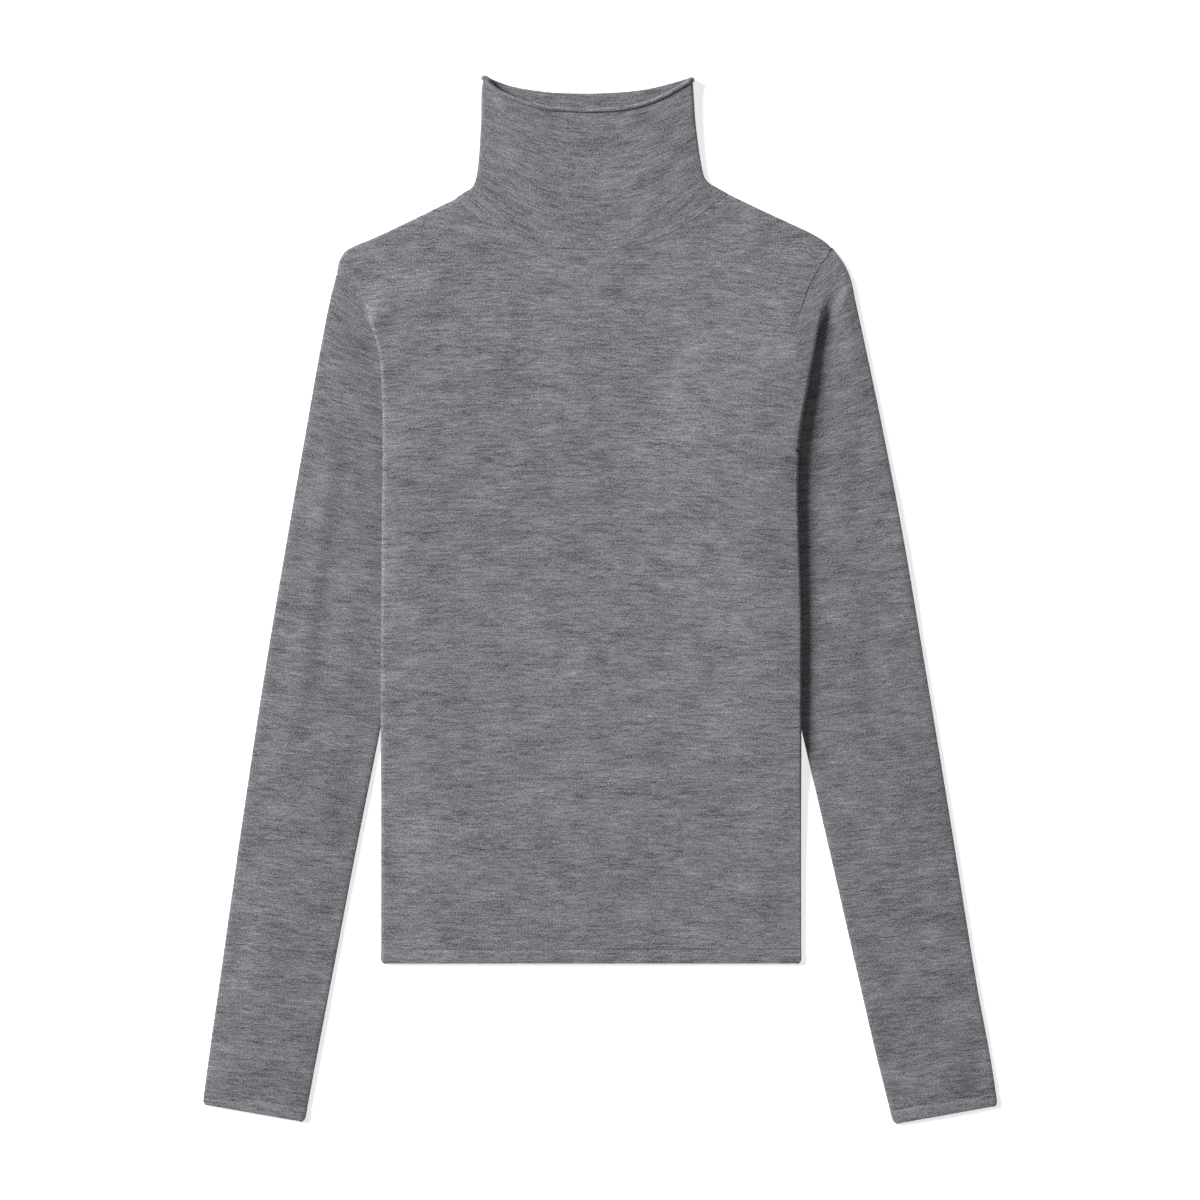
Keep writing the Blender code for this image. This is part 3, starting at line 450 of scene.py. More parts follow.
class SweaterClothSettings(bpy.types.PropertyGroup):
    """Sizes of the cloth that every piece is made with."""
    row_step: FloatProperty(name="Row Step", description="Distance between the mesh rows along a piece",
                            default=0.004, min=0.002, max=0.02, unit="LENGTH")
    crease_depth: FloatProperty(name="Crease Depth", description="Strength of the creases laid in by hand",
                                default=1.5, min=0.0, max=2.0, subtype="FACTOR")
    roll_height: FloatProperty(name="Roll Height", description="Height of the rolled edge of the collar",
                               default=0.0036, min=0.002, max=0.008, unit="LENGTH")
    roll_depth: FloatProperty(name="Roll Depth", description="Thickness of the rolled edge of the collar",
                              default=0.0028, min=0.001, max=0.005, unit="LENGTH")
    stitch_pitch: FloatProperty(name="Stitch Pitch", description="Distance between the linking stitches",
                                default=0.0021, min=0.001, max=0.005, unit="LENGTH")


class SweaterKnitSettings(bpy.types.PropertyGroup):
    """Colours and sizes of the melange knit."""
    cloth_colour: FloatVectorProperty(name="Cloth Colour", description="Main grey of the yarn",
                                      default=(0.190, 0.190, 0.206), size=3, subtype="COLOR", min=0, max=1)
    light_colour: FloatVectorProperty(name="Light Fleck", description="Pale, faintly pink fibres",
                                      default=(0.312, 0.285, 0.301), size=3, subtype="COLOR", min=0, max=1)
    dark_colour: FloatVectorProperty(name="Dark Fleck", description="Dark, faintly blue fibres",
                                     default=(0.100, 0.112, 0.121), size=3, subtype="COLOR", min=0, max=1)
    warm_tint: FloatVectorProperty(name="Warm Tint", description="Fibres that lean to pink",
                                   default=(1.03, 0.985, 1.01), size=3, min=0, max=2)
    cool_tint: FloatVectorProperty(name="Cool Tint", description="Fibres that lean to green",
                                   default=(0.975, 1.015, 0.99), size=3, min=0, max=2)
    course_pitch: FloatProperty(name="Course Pitch", description="Height of one stitch", default=0.00085,
                                min=0.0003, max=0.005, unit="LENGTH")
    wale_pitch: FloatProperty(name="Wale Pitch", description="Width of one stitch", default=0.00115,
                              min=0.0003, max=0.005, unit="LENGTH")
    stitch_relief: FloatProperty(name="Stitch Relief", description="Height of the stitches in the bump",
                                 default=0.00012, min=0.0, max=0.001, unit="LENGTH")


class SweaterStageSettings(bpy.types.PropertyGroup):
    """Camera, floor and lights."""
    camera_height: FloatProperty(name="Camera Height", description="Camera's height over the floor",
                                 default=3.0, min=1.0, max=10.0, unit="LENGTH")
    frame_width: FloatProperty(name="Frame Width", description="Width of floor that the camera sees",
                               default=0.912, min=0.5, max=3.0, unit="LENGTH")
    key_power: FloatProperty(name="Key Light", description="Power of the light on the left",
                             default=1725.0, min=0.0, max=5000.0, unit="POWER")
    fill_power: FloatProperty(name="Fill Light", description="Power of the light overhead",
                              default=28.0, min=0.0, max=5000.0, unit="POWER")
    sky: FloatProperty(name="Sky", description="Strength of the even light all round", default=0.09,
                       min=0.0, max=5.0)
    floor_glow: FloatProperty(name="Floor Glow", description="Light that the floor gives to the shadows",
                              default=0.62, min=0, max=2)
    floor_colour: FloatVectorProperty(name="Floor Colour", description="Pale paper under the sweater",
                                      default=(0.98, 0.98, 0.98), size=3, subtype="COLOR", min=0, max=1)


def cloth_settings():
    """Sizes chosen in the sidebar."""
    return bpy.context.scene.sweater_cloth


# ---------------------------------------------------------------- small helpers

def inward(side):
    """Direction from a side's edge to the middle of the body."""
    return 1 if side == "left" else -1


def smooth(share):
    """Soft step from 0 to 1."""
    share = np.clip(share, 0, 1)
    return share * share * (3 - 2 * share)


def trace(heading, *moves):
    """Points of a line in a section: each move is a length, a turn in degrees and its steps."""
    points = [(0.0, 0.0)]
    angle = math.radians(heading)
    for length, turn, steps in moves:
        half = math.radians(turn) / steps / 2
        for _ in range(steps):
            angle += half
            x, z = points[-1]
            points.append((x + length / steps * math.cos(angle), z + length / steps * math.sin(angle)))
            angle += half
    return np.array(points)


def relief(creases, x, y):
    """Rise of the cloth over a list of creases, at arrays of X and Y."""
    total = np.zeros_like(x)
    for x0, y0, x1, y1, bow, width, rise in creases:
        along = np.array([x1 - x0, y1 - y0])
        length = np.hypot(*along)
        along = along / length
        t = ((x - x0) * along[0] + (y - y0) * along[1]) / length
        inside = np.clip(t, 0, 1)
        across = -(x - x0) * along[1] + (y - y0) * along[0] - bow * np.sin(math.pi * inside)
        past = (t - inside) * length
        ends = smooth(np.minimum(t, 1 - t) / CREASE_FADE + CREASE_REST)
        total += rise * ends * np.exp(-(across ** 2 + past ** 2) / width ** 2)
    return total * cloth_settings().crease_depth


# ---------------------------------------------------------------- folds and edges

def side_radius(side, y):
    """Radius of a body's side fold."""
    return float(SIDE_FOLD[side].at("radius", y))


def side_fold(side, y, direction):
    """Half of a body's side fold, outward from the last flat point, down or up to its outer edge."""
    radius = side_radius(side, y)
    turn = math.acos(FOLD_GAP / 2 / radius)
    return trace(0, (radius * turn, direction * math.degrees(turn), BEND_STEPS)) * (SIDE_REACH[side], 1)


def fold_end(side, y):
    """The folded end of a sleeve's upper layer, from the last flat point inward to the seam."""
    turn, radius, tuck = (float(FOLD[side].at(name, y)) for name in ("turn", "radius", "tuck"))
    soft = 1 if side == "left" else 1 + TUCK_SPREAD * smooth(1 - turn / FULL_TURN)
    points = trace(0, (math.pi * TUCK_RADIUS * soft, turn, BEND_STEPS), (tuck, 0, TUCK_STEPS))
    if side == "left":
        return points
    bend = trace(turn, (math.pi * radius, -turn, BEND_STEPS)) * (pressed(side, turn), 1)
    width = float(STRIP_FOLD.at("x", y)) - WALL / 2 - float(BODY_EDGE[side].at("x", y))
    width = max(SHORTEST_STRIP, width - bend[-1, 0] + bend[BEND_STEPS // 2, 0])
    strip = trace(0, (width, 0, TUCK_STEPS))
    return np.vstack((points, points[-1] + bend[1:], points[-1] + bend[-1] + strip[1:]))


def pressed(side, turn):
    """Share of its round form to which a fold of this turn is pressed sideways."""
    return 1 + (SIDE_REACH[side] - 1) * smooth(turn / 180)


def lip(side, y):
    """The bent edge of the front panel, outward from its last flat point."""
    if y < UNDERARM_Y:
        return side_fold(side, y, -1)
    if side == "right":
        return trace(0, (STRAIGHT_LIP, 0, BEND_STEPS))
    turn, radius = (float(FOLD[side].at(name, y)) for name in ("turn", "radius"))
    return trace(0, (math.pi * radius, -turn, BEND_STEPS)) * (pressed(side, turn), 1)


def lip_gap(y):
    """Step along the cloth from the end of the front panel's lip to the left sleeve."""
    turn = math.radians(float(FOLD["left"].at("turn", y)))
    gap = SLANT_GAP + LIP_GAP * smooth(turn / math.radians(90))
    return gap * math.cos(turn), -gap * math.sin(turn)


def slant_gap(y):
    """Gap of the right armhole seam: open enough to show as a line only near the shoulder."""
    return SHUT_GAP + OPEN_GAP * smooth((y - OPEN_FROM) / OPEN_OVER)


def cover(y):
    """How far the body's side is lifted by the sleeve tucked behind it, 0 to 1."""
    return smooth((y - COVER_FROM) / COVER_OVER)


def seam_height(side, y):
    """Middle of the sleeve's cloth at the front armhole seam."""
    low = Z_FRONT + (Z_TUCKED - Z_FRONT) * smooth(float(FOLD[side].at("turn", y)) / 180)
    return low + fold_end(side, y)[-1, 1]


def edge_height(side, y):
    """Middle of the front panel at the flat end of its lip."""
    if y < UNDERARM_Y:
        return Z_BACK + (Z_OVER - Z_BACK) * cover(y) + 2 * side_radius(side, y)
    drop = lip_gap(y)[1] if side == "left" else 0.0
    return seam_height(side, y) - drop - lip(side, y)[-1, 1]


def tuck_width(side, y):
    """From the front panel's edge to just past what is tucked behind it."""
    past = WALL / 2 + CLEARANCE
    if y < UNDERARM_Y:
        inner = float(SLEEVE_INNER[side].at("x", y)) * inward(side)
        edge = float(BODY_EDGE[side].at("x", y)) * inward(side)
        return max(inner - edge + past, LEAST_COVER)
    end = fold_end(side, y)
    return max(end[:, 0].max() - end[-1, 0] + past, LEAST_TUCK)


# ---------------------------------------------------------------- body panels

def body_rows():
    """Levels of the mesh rows, from the hem bands to the top of the armhole seams."""
    step = cloth_settings().row_step / MM
    low, top = HEM_Y + HEM_BAND + SEAM_GAP / 2, TIP_Y["left"] - SHOULDER_RADIUS
    under = np.linspace(low + GROOVE_END, FLAP_TOP_Y, round((FLAP_TOP_Y - low) / step))
    over = np.linspace(UNDERARM_Y, top, round((top - UNDERARM_Y) / step * ROW_CROWDING))
    return [*(low + GROOVE_STEPS), *under, *over]


def levels(row):
    """A row's height on the left and the right edge."""
    if row <= UNDERARM_Y:
        return {"left": row, "right": row}
    share = (row - UNDERARM_Y) / (TIP_Y["left"] - UNDERARM_Y)
    return {"left": row, "right": UNDERARM_Y + share * (TIP_Y["right"] - UNDERARM_Y)}


def top_line(layer, share):
    """X and Y of a panel's top: shoulder, neck line, shoulder."""
    first, last = NECK_SHARES
    across = (share - first) / (last - first)
    if 0 < across < 1:
        sides = [float(COLLAR_SIDES.at(name, 0)) for name in ("left_x", "right_x")]
        return np.array([sides[0] + (sides[1] - sides[0]) * across,
                         float(COLLAR_LINES.at(layer + "_low", across))])
    return np.array([SHOULDERS.at("x", share), SHOULDERS.at("y", share)], float)


def row_line(layer, row, edges):
    """A function from share across to X and Y, filled in between the four sides of a panel."""
    y = levels(row)
    left, right = (np.array([edges[side], y[side]]) for side in ("left", "right"))
    high = [top_line(layer, share) for share in (0, 1)]
    upward = max(0.0, (row - UNDERARM_Y) / (TIP_Y["left"] - UNDERARM_Y))
    follow = np.array([upward ** 2, upward])

    def place(share):
        straight = (1 - share) * high[0] + share * high[1]
        return (1 - share) * left + share * right + follow * (top_line(layer, share) - straight)
    return place


def middle_shares(left, right):
    """Columns between the two sides, with one at each column of the collar."""
    first, last = NECK_SHARES
    return [*np.linspace(left, first, SHOULDER_COLUMNS)[1:],
            *np.linspace(first, last, COLLAR_COLUMNS)[1:],
            *np.linspace(last, right, SHOULDER_COLUMNS)[1:-1]]


def lift(side, y, distance):
    """Rise of the front panel near one side, by distance from its edge."""
    rise = edge_height(side, y) - Z_FRONT - FRONT_LIFT.at("rise", y)
    near = smooth(1 - (distance - side_radius(side, y)) / EDGE_REACH)
    over = smooth(1 - (distance - side_radius(side, y) - tuck_width(side, y)) / RAMP_REACH)
    share = RAMP_BLEND.at("share", y)
    drop = EDGE_DROP[side].at("drop", y) * math.exp(-distance / DROP_REACH)
    return rise * (share * over + (1 - share) * near) - drop


def front_row(row):
    """Middle surface of the front panel along one row, with its bent edges."""
    y = levels(row)
    edges, lips, shares = {}, {}, []
    for side in ("left", "right"):
        lips[side] = lip(side, y[side])
        shift = WALL / 2 if row < UNDERARM_Y or side == "left" else slant_gap(y[side]) / 2
        edges[side] = float(BODY_EDGE[side].at("x", y[side])) + inward(side) * shift
    width = edges["right"] - edges["left"]
    for side in ("left", "right"):
        flat, tuck = lips[side][:, 0].max(), tuck_width(side, y[side])
        offsets = [flat, *(flat + tuck * share for share in SIDE_SHARES),
                   *(flat + tuck + RAMP * share for share in RAMP_SHARES)]
        shares.append([offset / width for offset in offsets])
    left, right = shares[0], [1 - share for share in shares[1]][::-1]
    place = row_line("front", row, edges)
    points = []
    for share in left + middle_shares(left[-1], right[0]) + right:
        x, y_here = place(share)
        rise = lift("left", y["left"], x - edges["left"]) + lift("right", y["right"], edges["right"] - x)
        level = y["left"] + (y["right"] - y["left"]) * share
        points.append((x, y_here, Z_FRONT + FRONT_LIFT.at("rise", level) + rise))
    points = np.array(points)
    for side in ("left", "right"):
        end = points[0] if side == "left" else points[-1]
        bent = end + [(-inward(side) * dx, 0.0, dz) for dx, dz in lips[side][1:]]
        drift = end[:2] - (edges[side] + inward(side) * lips[side][:, 0].max(), y[side])
        bent[:, :2] -= np.linspace((0, 0), drift, len(bent) + 1)[1:]
        points = np.vstack((bent[::-1], points)) if side == "left" else np.vstack((points, bent))
    return points


def shoulder_rows(last, turn_down):
    """Rows above the last flat one: bent over at the shoulders, flat along the neck line."""
    angle_end = math.acos(FOLD_GAP / 2 / SHOULDER_RADIUS)
    neck_x = [float(COLLAR_SIDES.at(name, 0)) for name in ("left_x", "right_x")]
    from_left = smooth((last[:, 0] - neck_x[0]) / NECK_CORNER + 0.5)
    neck = from_left * smooth((neck_x[1] - last[:, 0]) / NECK_CORNER + 0.5)
    rows = []
    for step in range(1, SHOULDER_STEPS + 1):
        angle = angle_end * step / SHOULDER_STEPS
        row = last.copy()
        row[:, 1] += SHOULDER_RADIUS * (math.sin(angle) * (1 - neck) + step / SHOULDER_STEPS * neck)
        row[:, 2] += turn_down * SHOULDER_RADIUS * (1 - math.cos(angle)) * (1 - neck)
        rows.append(row)
    return rows


def body_rise(x, y):
    """Creases and fullness of the body's and the collar's upper layer."""
    rise = relief(BODY_CREASES, x, y) + relief(NECK_CREASES, x, y)
    across = np.clip((x - MIDDLE_X) / BODY_SWELL_HALF, -1, 1)
    up = BODY_SWELL_LOW + (1 - BODY_SWELL_LOW) * smooth((y - HEM_Y) / BODY_SWELL_UP)
    return rise + BODY_SWELL * (1 - across ** 4) * up


def groove(distance):
    """Depth to which the cloth is drawn in, by distance from the seam of a turned band."""
    return GROOVE_DEPTH * np.exp(-(distance / GROOVE_WIDTH) ** 2)


def front_grid():
    """Middle surface of the front panel, with its creases."""
    rows = [front_row(row) for row in body_rows()]
    grid = np.array(rows + shoulder_rows(rows[-1], -1))
    x, y = grid[..., 0], grid[..., 1]
    columns = np.arange(grid.shape[1])
    share = np.minimum(columns, columns[::-1]) / EDGE_FADE_STEPS
    top = np.ones(len(grid))
    top[-SHOULDER_STEPS:] = 1 - np.arange(1, SHOULDER_STEPS + 1) / SHOULDER_STEPS
    neck = smooth((x - NECK_X[0]) / NECK_FADE) * smooth((NECK_X[1] - x) / NECK_FADE)
    fade = smooth(share)[None, :] * np.maximum(top[:, None], neck)
    grid[..., 2] += body_rise(x, y) * fade
    grid[..., 2] -= groove(y - HEM_Y - HEM_BAND) * fade
    return grid


def back_main_row(row):
    """Middle surface of the back panel between the lines where it comes down to the floor."""
    y = levels(row)
    edges, heights = {}, {}
    for side in ("left", "right"):
        if row <= FLAP_TOP_Y:
            edge = float(BODY_EDGE[side].at("x", y[side])) + inward(side) * (WALL / 2)
            edges[side] = edge + inward(side) * (side_radius(side, y[side]) + tuck_width(side, y[side]))
            heights[side] = (Z_OVER - Z_BACK) * cover(y[side]) * smooth((UNDERARM_Y - y[side]) / LANDING)
        else:
            edges[side] = float(BACK_ARMHOLE[side].at("x", y[side])) + inward(side) * (SLANT_GAP / 2)
            heights[side] = 0.0
    width = edges["right"] - edges["left"]
    ramp = [RAMP * share / width for share in (0, *RAMP_SHARES)]
    place = row_line("back", row, edges)
    points = []
    for share in ramp + middle_shares(ramp[-1], 1 - ramp[-1]) + [1 - share for share in ramp[::-1]]:
        x, y_here = place(share)
        rise = heights["left"] * smooth(1 - (x - edges["left"]) / RAMP)
        rise += heights["right"] * smooth(1 - (edges["right"] - x) / RAMP)
        points.append((x, y_here, Z_BACK + rise))
    return np.array(points)


def back_flap_row(side, row, last):
    """The back panel from a side fold to the line where it comes down, over the tucked sleeve."""
    y = levels(row)[side]
    edge = float(BODY_EDGE[side].at("x", y)) + inward(side) * (WALL / 2)
    height = Z_BACK + (Z_OVER - Z_BACK) * cover(y)
    fold = side_fold(side, y, 1)
    flat_x = edge + inward(side) * fold[:, 0].max()
    reach = tuck_width(side, y) - FLAP_STOP
    points = [(flat_x - inward(side) * dx, last[1], height + dz) for dx, dz in fold[::-1]]
    points += [(flat_x + inward(side) * reach * share, last[1], height) for share in SIDE_SHARES]
    points.append(tuple(last))
    return np.array(points)


def back_grids():
    """Middle surface of the back panel: the main part and the two parts that lie on the sleeves."""
    rows = body_rows()
    main = [back_main_row(row) for row in rows]
    flaps = []
    for side, end in (("left", 0), ("right", -1)):
        flaps.append(np.array([back_flap_row(side, row, points[end])
                               for row, points in zip(rows, main) if row <= FLAP_TOP_Y]))
    return [np.array(main + shoulder_rows(main[-1], 1))] + flaps


# ---------------------------------------------------------------- sleeves

def outer_bend(side, y):
    """The sleeve's outer fold, from the upper layer round to the layer on the floor."""
    angles = np.linspace(math.pi / 2, -math.pi / 2, BEND_STEPS + 1)
    edge = float(SLEEVE_OUTER[side].at("x", y)) * inward(side) + WALL / 2
    reach = SLEEVE_RADIUS * PRESSED_REACH
    if y >= UNDERARM_Y:
        room = float(BODY_EDGE[side].at("x", y)) * inward(side) - edge
        reach = min(reach, max(LEAST_BEND, BEND_ROOM * room))
    return np.array([(edge + reach * (1 - math.cos(a)), Z_BACK + SLEEVE_RADIUS * (1 + math.sin(a)))
                     for a in angles])


def upper_layer(start, end):
    """The upper layer between two points of a section, settling softly to the second height."""
    shares = np.linspace(0, 1, UPPER_STEPS + 1)
    return np.array([(start[0] + (end[0] - start[0]) * share,
                      start[1] + (end[1] - start[1]) * smooth(2 * share)) for share in shares])


def under_layer(start, end):
    """The layer on the floor, without its first point."""
    return np.array([(x, Z_BACK) for x in np.linspace(start, end, UPPER_STEPS // 2)[1:]])


def fold_points(side):
    """Points of a cap's section that lie in its fold beside the seam."""
    return len(fold_end(side, UNDERARM_Y)) - 1


def cap_row(side, y):
    """Section above the underarm, from the front armhole seam round to the back one."""
    bend = outer_bend(side, y)
    edge = float(BODY_EDGE[side].at("x", y)) * inward(side)
    if side == "left":
        body, step = lip(side, y), lip_gap(y)
        flat = edge + WALL / 2 + body[:, 0].max()
        seam = np.array([flat - body[-1, 0] - step[0], edge_height(side, y) + body[-1, 1] + step[1]])
    else:
        seam = np.array([edge - slant_gap(y) / 2, seam_height(side, y)])
    tail = fold_end(side, y)
    room = TAIL_SHARE * (seam[0] - bend[0, 0])
    if tail[-1, 0] > room and float(FOLD[side].at("turn", y)) < SLIGHT_TURN:
        tail = tail * (room / tail[-1, 0], 1)
    tail = tail + (seam - tail[-1])
    upper = upper_layer(bend[0], tail[0])
    back_seam = float(BACK_ARMHOLE[side].at("x", y)) * inward(side) - SLANT_GAP / 2
    if y == UNDERARM_Y:
        back_seam = inner_center(side, y)
    under = under_layer(bend[-1, 0], max(back_seam, bend[-1, 0] + LEAST_UNDER))
    return np.vstack((tail[::-1], upper[::-1][1:], bend[1:], under))


def place_row(side, section, y_outer, y_inner):
    """Set a section's points in the sleeve, its row running from the outer to the inner edge."""
    outer = section[:, 0].min()
    share = (section[:, 0] - outer) / (section[:, 0].max() - outer)
    y = y_outer + (y_inner - y_outer) * share
    return np.column_stack((section[:, 0] * inward(side), y, section[:, 1]))


def inner_height(y):
    """Upper layer of the sleeve at its inner fold: pressed under the body, fuller below it."""
    free = Z_BACK + 2 * SLEEVE_RADIUS
    return free + (Z_TUCKED - free) * smooth((y - PRESS_FROM) / COVER_OVER)


def inner_center(side, y):
    """Middle of the inner fold's bend."""
    radius = (inner_height(y) - Z_BACK) / 2
    return float(SLEEVE_INNER[side].at("x", y)) * inward(side) - WALL / 2 - radius * PRESSED_REACH


def ring_row(side, y_outer, y_inner):
    """Section below the underarm: upper layer, outer fold, layer on the floor and inner fold."""
    bend = outer_bend(side, y_outer)
    high = inner_height(y_inner)
    radius = (high - Z_BACK) / 2
    inner = inner_center(side, y_inner)
    angles = np.linspace(-math.pi / 2, math.pi / 2, BEND_STEPS + 1)[1:]
    reach = radius * PRESSED_REACH
    closing = np.array([(inner + reach * math.cos(a), Z_BACK + radius * (1 + math.sin(a)))
                        for a in angles])
    return np.vstack((upper_layer(bend[0], (inner, high))[::-1], bend[1:],
                      under_layer(bend[-1, 0], inner), closing))


def sleeve_line(side, share):
    """Heights of a ring row at the outer and the inner edge, from the underarm to the cuff's end."""
    outer, inner = CUFF_Y[side]
    return UNDERARM_Y + (outer - UNDERARM_Y) * share, UNDERARM_Y + (inner - UNDERARM_Y) * share


def sleeve_length(side):
    """Along the sleeve's middle, from the underarm to the cuff's end."""
    return UNDERARM_Y - sum(CUFF_Y[side]) / 2


def upper_share(heights, level=UPPER_LEVEL):
    """1 on the upper layer of a tube and 0 on its layer on the floor."""
    return smooth(heights - Z_BACK - level)


def sleeve_rise(side, grid):
    """Rise of a sleeve's upper layer by its creases and its fullness."""
    x, y = grid[..., 0], grid[..., 1]
    body = BODY_EDGE[side].at("x", y) * inward(side)
    outer = SLEEVE_OUTER[side].at("x", y) * inward(side)
    inner = np.where(y > UNDERARM_Y, body, SLEEVE_INNER[side].at("x", y) * inward(side))
    share = np.clip((x * inward(side) - outer) / (inner - outer), 0, 1)
    beside = smooth((x * inward(side) - body + BODY_FADE) / BODY_FADE)
    under_body = beside * smooth((y - APEX_Y + APEX_FADE) / APEX_FADE)
    tip = smooth((TIP_Y[side] - y) / TIP_FADE)
    swell = SLEEVE_SWELL * np.sin(math.pi * share ** SWELL_LEAN) ** SWELL_SHARPNESS
    upper = upper_share(grid[..., 2], SLEEVE_UPPER_LEVEL)
    return (relief(SLEEVE_CREASES[side], x, y) + swell) * upper * (1 - under_body) * tip


def cap_grid(side):
    """Middle surface of a sleeve's cap, which is open to the armhole."""
    levels_up = np.array([levels(row)[side] for row in body_rows() if row >= UNDERARM_Y])
    levels_up[-1] = TIP_Y[side] - CAP_TOP
    cap = np.array([place_row(side, cap_row(side, y), y, y) for y in levels_up])
    upper = cap[:, fold_points(side):]
    away = np.abs(upper[..., 0] - upper[:, :1, 0])
    near_tip = smooth((levels_up - SEAM_FADE_FROM) / SEAM_FADE_OVER)[:, None]
    upper[..., 2] += sleeve_rise(side, upper) * (1 - near_tip * (1 - smooth(away / SEAM_FADE)))
    return cap


def sleeve_grids(side):
    """Middle surface of a sleeve: its cap and its tube, which starts from the cap's lowest row."""
    length = sleeve_length(side)
    end = 1 - (CUFF_BAND + SEAM_GAP / 2) / length
    even = np.linspace(0, end - GROOVE_END / length, round(length * MM / cloth_settings().row_step))
    shares = [*even, *(end - GROOVE_STEPS[::-1] / length)]
    tube = []
    for share in shares:
        y_outer, y_inner = sleeve_line(side, share)
        tube.append(place_row(side, ring_row(side, y_outer, y_inner), y_outer, y_inner))
    lowest = place_row(side, cap_row(side, UNDERARM_Y), UNDERARM_Y, UNDERARM_Y)[fold_points(side):]
    tube[0][:len(lowest)] = lowest
    tube[0][-1] = lowest[0]
    tube = np.array(tube)
    tube[..., 2] += sleeve_rise(side, tube)
    drawn_in = groove((end - np.array(shares)) * length)[:, None]
    tube[..., 2] -= drawn_in * upper_share(tube[..., 2])
    return [cap_grid(side), tube]


def corner_inset(distance):
    """How far a rounded corner draws the edge in, by distance from the end of the band."""
    short = max(0.0, CORNER_START - distance)
    return CORNER - math.sqrt(CORNER ** 2 - short ** 2)


def band_rows(height):
    """Distances of a band's rows from its end, closer together round the corners."""
    top = height - SEAM_GAP / 2
    return (*(top - step for step in BAND_TOP_STEPS), height / 2, CORNER_START, *BAND_END_STEPS)


def band_swell(distance, height):
    """Rise of a turned band, which is fuller in its middle and pinched at its seam."""
    share = distance / height
    pinch = BAND_PINCH * math.exp(-((1 - share) * height / BAND_PINCH_WIDTH) ** 2)
    return BAND_FULLNESS * math.sin(math.pi * share ** SWELL_LEAN) - pinch


def narrowed(row, inset):
    """A band's row drawn in at its two ends."""
    middle = (row[:, 0].max() + row[:, 0].min()) / 2
    half = row[:, 0].max() - middle
    row[:, 0] = middle + (row[:, 0] - middle) * (half - inset) / half
    return row


def cuff_grid(side):
    """Middle surface of a cuff band, slightly thicker than the sleeve."""
    rows = []
    for distance in band_rows(CUFF_BAND):
        y_outer, y_inner = sleeve_line(side, 1 - distance / sleeve_length(side))
        section = ring_row(side, y_outer, y_inner)
        section[:, 1] += (BAND_WALL - WALL) / 2
        section = narrowed(section, corner_inset(distance))
        row = place_row(side, section, y_outer, y_inner)
        row[:, 2] += band_swell(distance, CUFF_BAND) * upper_share(row[:, 2])
        rows.append(row)
    grid = np.array(rows)
    grid[..., 2] += sleeve_rise(side, grid)
    return grid


# ---------------------------------------------------------------- hem bands

def hem_grid(panel_row, upper):
    """Middle surface of a hem band, carried on from the panel's lowest row."""
    rows = []
    for distance in band_rows(HEM_BAND):
        row = narrowed(panel_row.copy(), corner_inset(distance))
        row[:, 1] = HEM_Y + distance
        row[:, 2] += (BAND_WALL - WALL) / 2
        if upper:
            row[:, 2] += band_swell(distance, HEM_BAND)
        rows.append(row)
    return np.array(rows)


# ---------------------------------------------------------------- collar

def collar_point(layer, across, height):
    """X and Y of a point on one layer, between its neck line, its top edge and the two sides."""
    sides = {name: COLLAR_SIDES.at(name, height) for name in ("left_x", "left_y", "right_x", "right_y")}
    low = COLLAR_LINES.at(layer + "_low", across)
    high = COLLAR_LINES.at(layer + "_top", across)
    ends = [COLLAR_LINES.at(layer + name, share) for name in ("_low", "_top") for share in (0, 1)]
    x = (1 - across) * sides["left_x"] + across * sides["right_x"]
    side_y = (1 - across) * sides["left_y"] + across * sides["right_y"]
    low_off = low - ((1 - across) * ends[0] + across * ends[1])
    high_off = high - ((1 - across) * ends[2] + across * ends[3])
    return float(x), float(side_y + (1 - height) * low_off + height * high_off)


def collar_row(height):
    """One ring of the collar: front layer left to right, right fold, back layer, left fold."""
    radius = COLLAR_RADIUS + COLLAR_OPENING * smooth(height)
    back_z = Z_BACK + COLLAR_LIFT * smooth((height - COLLAR_LIFT_FROM) / COLLAR_LIFT_OVER)
    front_z = back_z + 2 * radius
    sag = COLLAR_SAG * smooth(height)
    shares = np.linspace(0, 1, COLLAR_COLUMNS + 1)[1:-1]
    points = []
    for across in shares:
        x, y = collar_point("front", across, height)
        points.append((x, y, front_z - sag * math.sin(math.pi * across)))
    bends = {}
    angles = np.linspace(math.pi / 2, -math.pi / 2, BEND_STEPS + 1)
    for name, across, out in (("right_x", 1.0, 1), ("left_x", 0.0, -1)):
        edge = float(COLLAR_SIDES.at(name, height)) - out * WALL / 2
        y = collar_point("front", across, height)[1]
        reach = out * radius * PRESSED_REACH
        bends[name] = [(edge - reach * (1 - math.cos(a)), y, back_z + radius * (1 + math.sin(a)))
                       for a in angles]
    back = [(*collar_point("back", across, height), back_z) for across in shares[::-1]]
    row = np.array(points + bends["right_x"] + back + bends["left_x"][::-1])
    share = (row[:, 2] - back_z) / (front_z - sag - back_z)
    upper = smooth(share * (1 + FOLD_SHARE) - FOLD_SHARE)
    fade = smooth((1 - height) / COLLAR_FADE + COLLAR_REST)
    row[:, 2] += body_rise(row[:, 0], row[:, 1]) * upper * fade
    return row


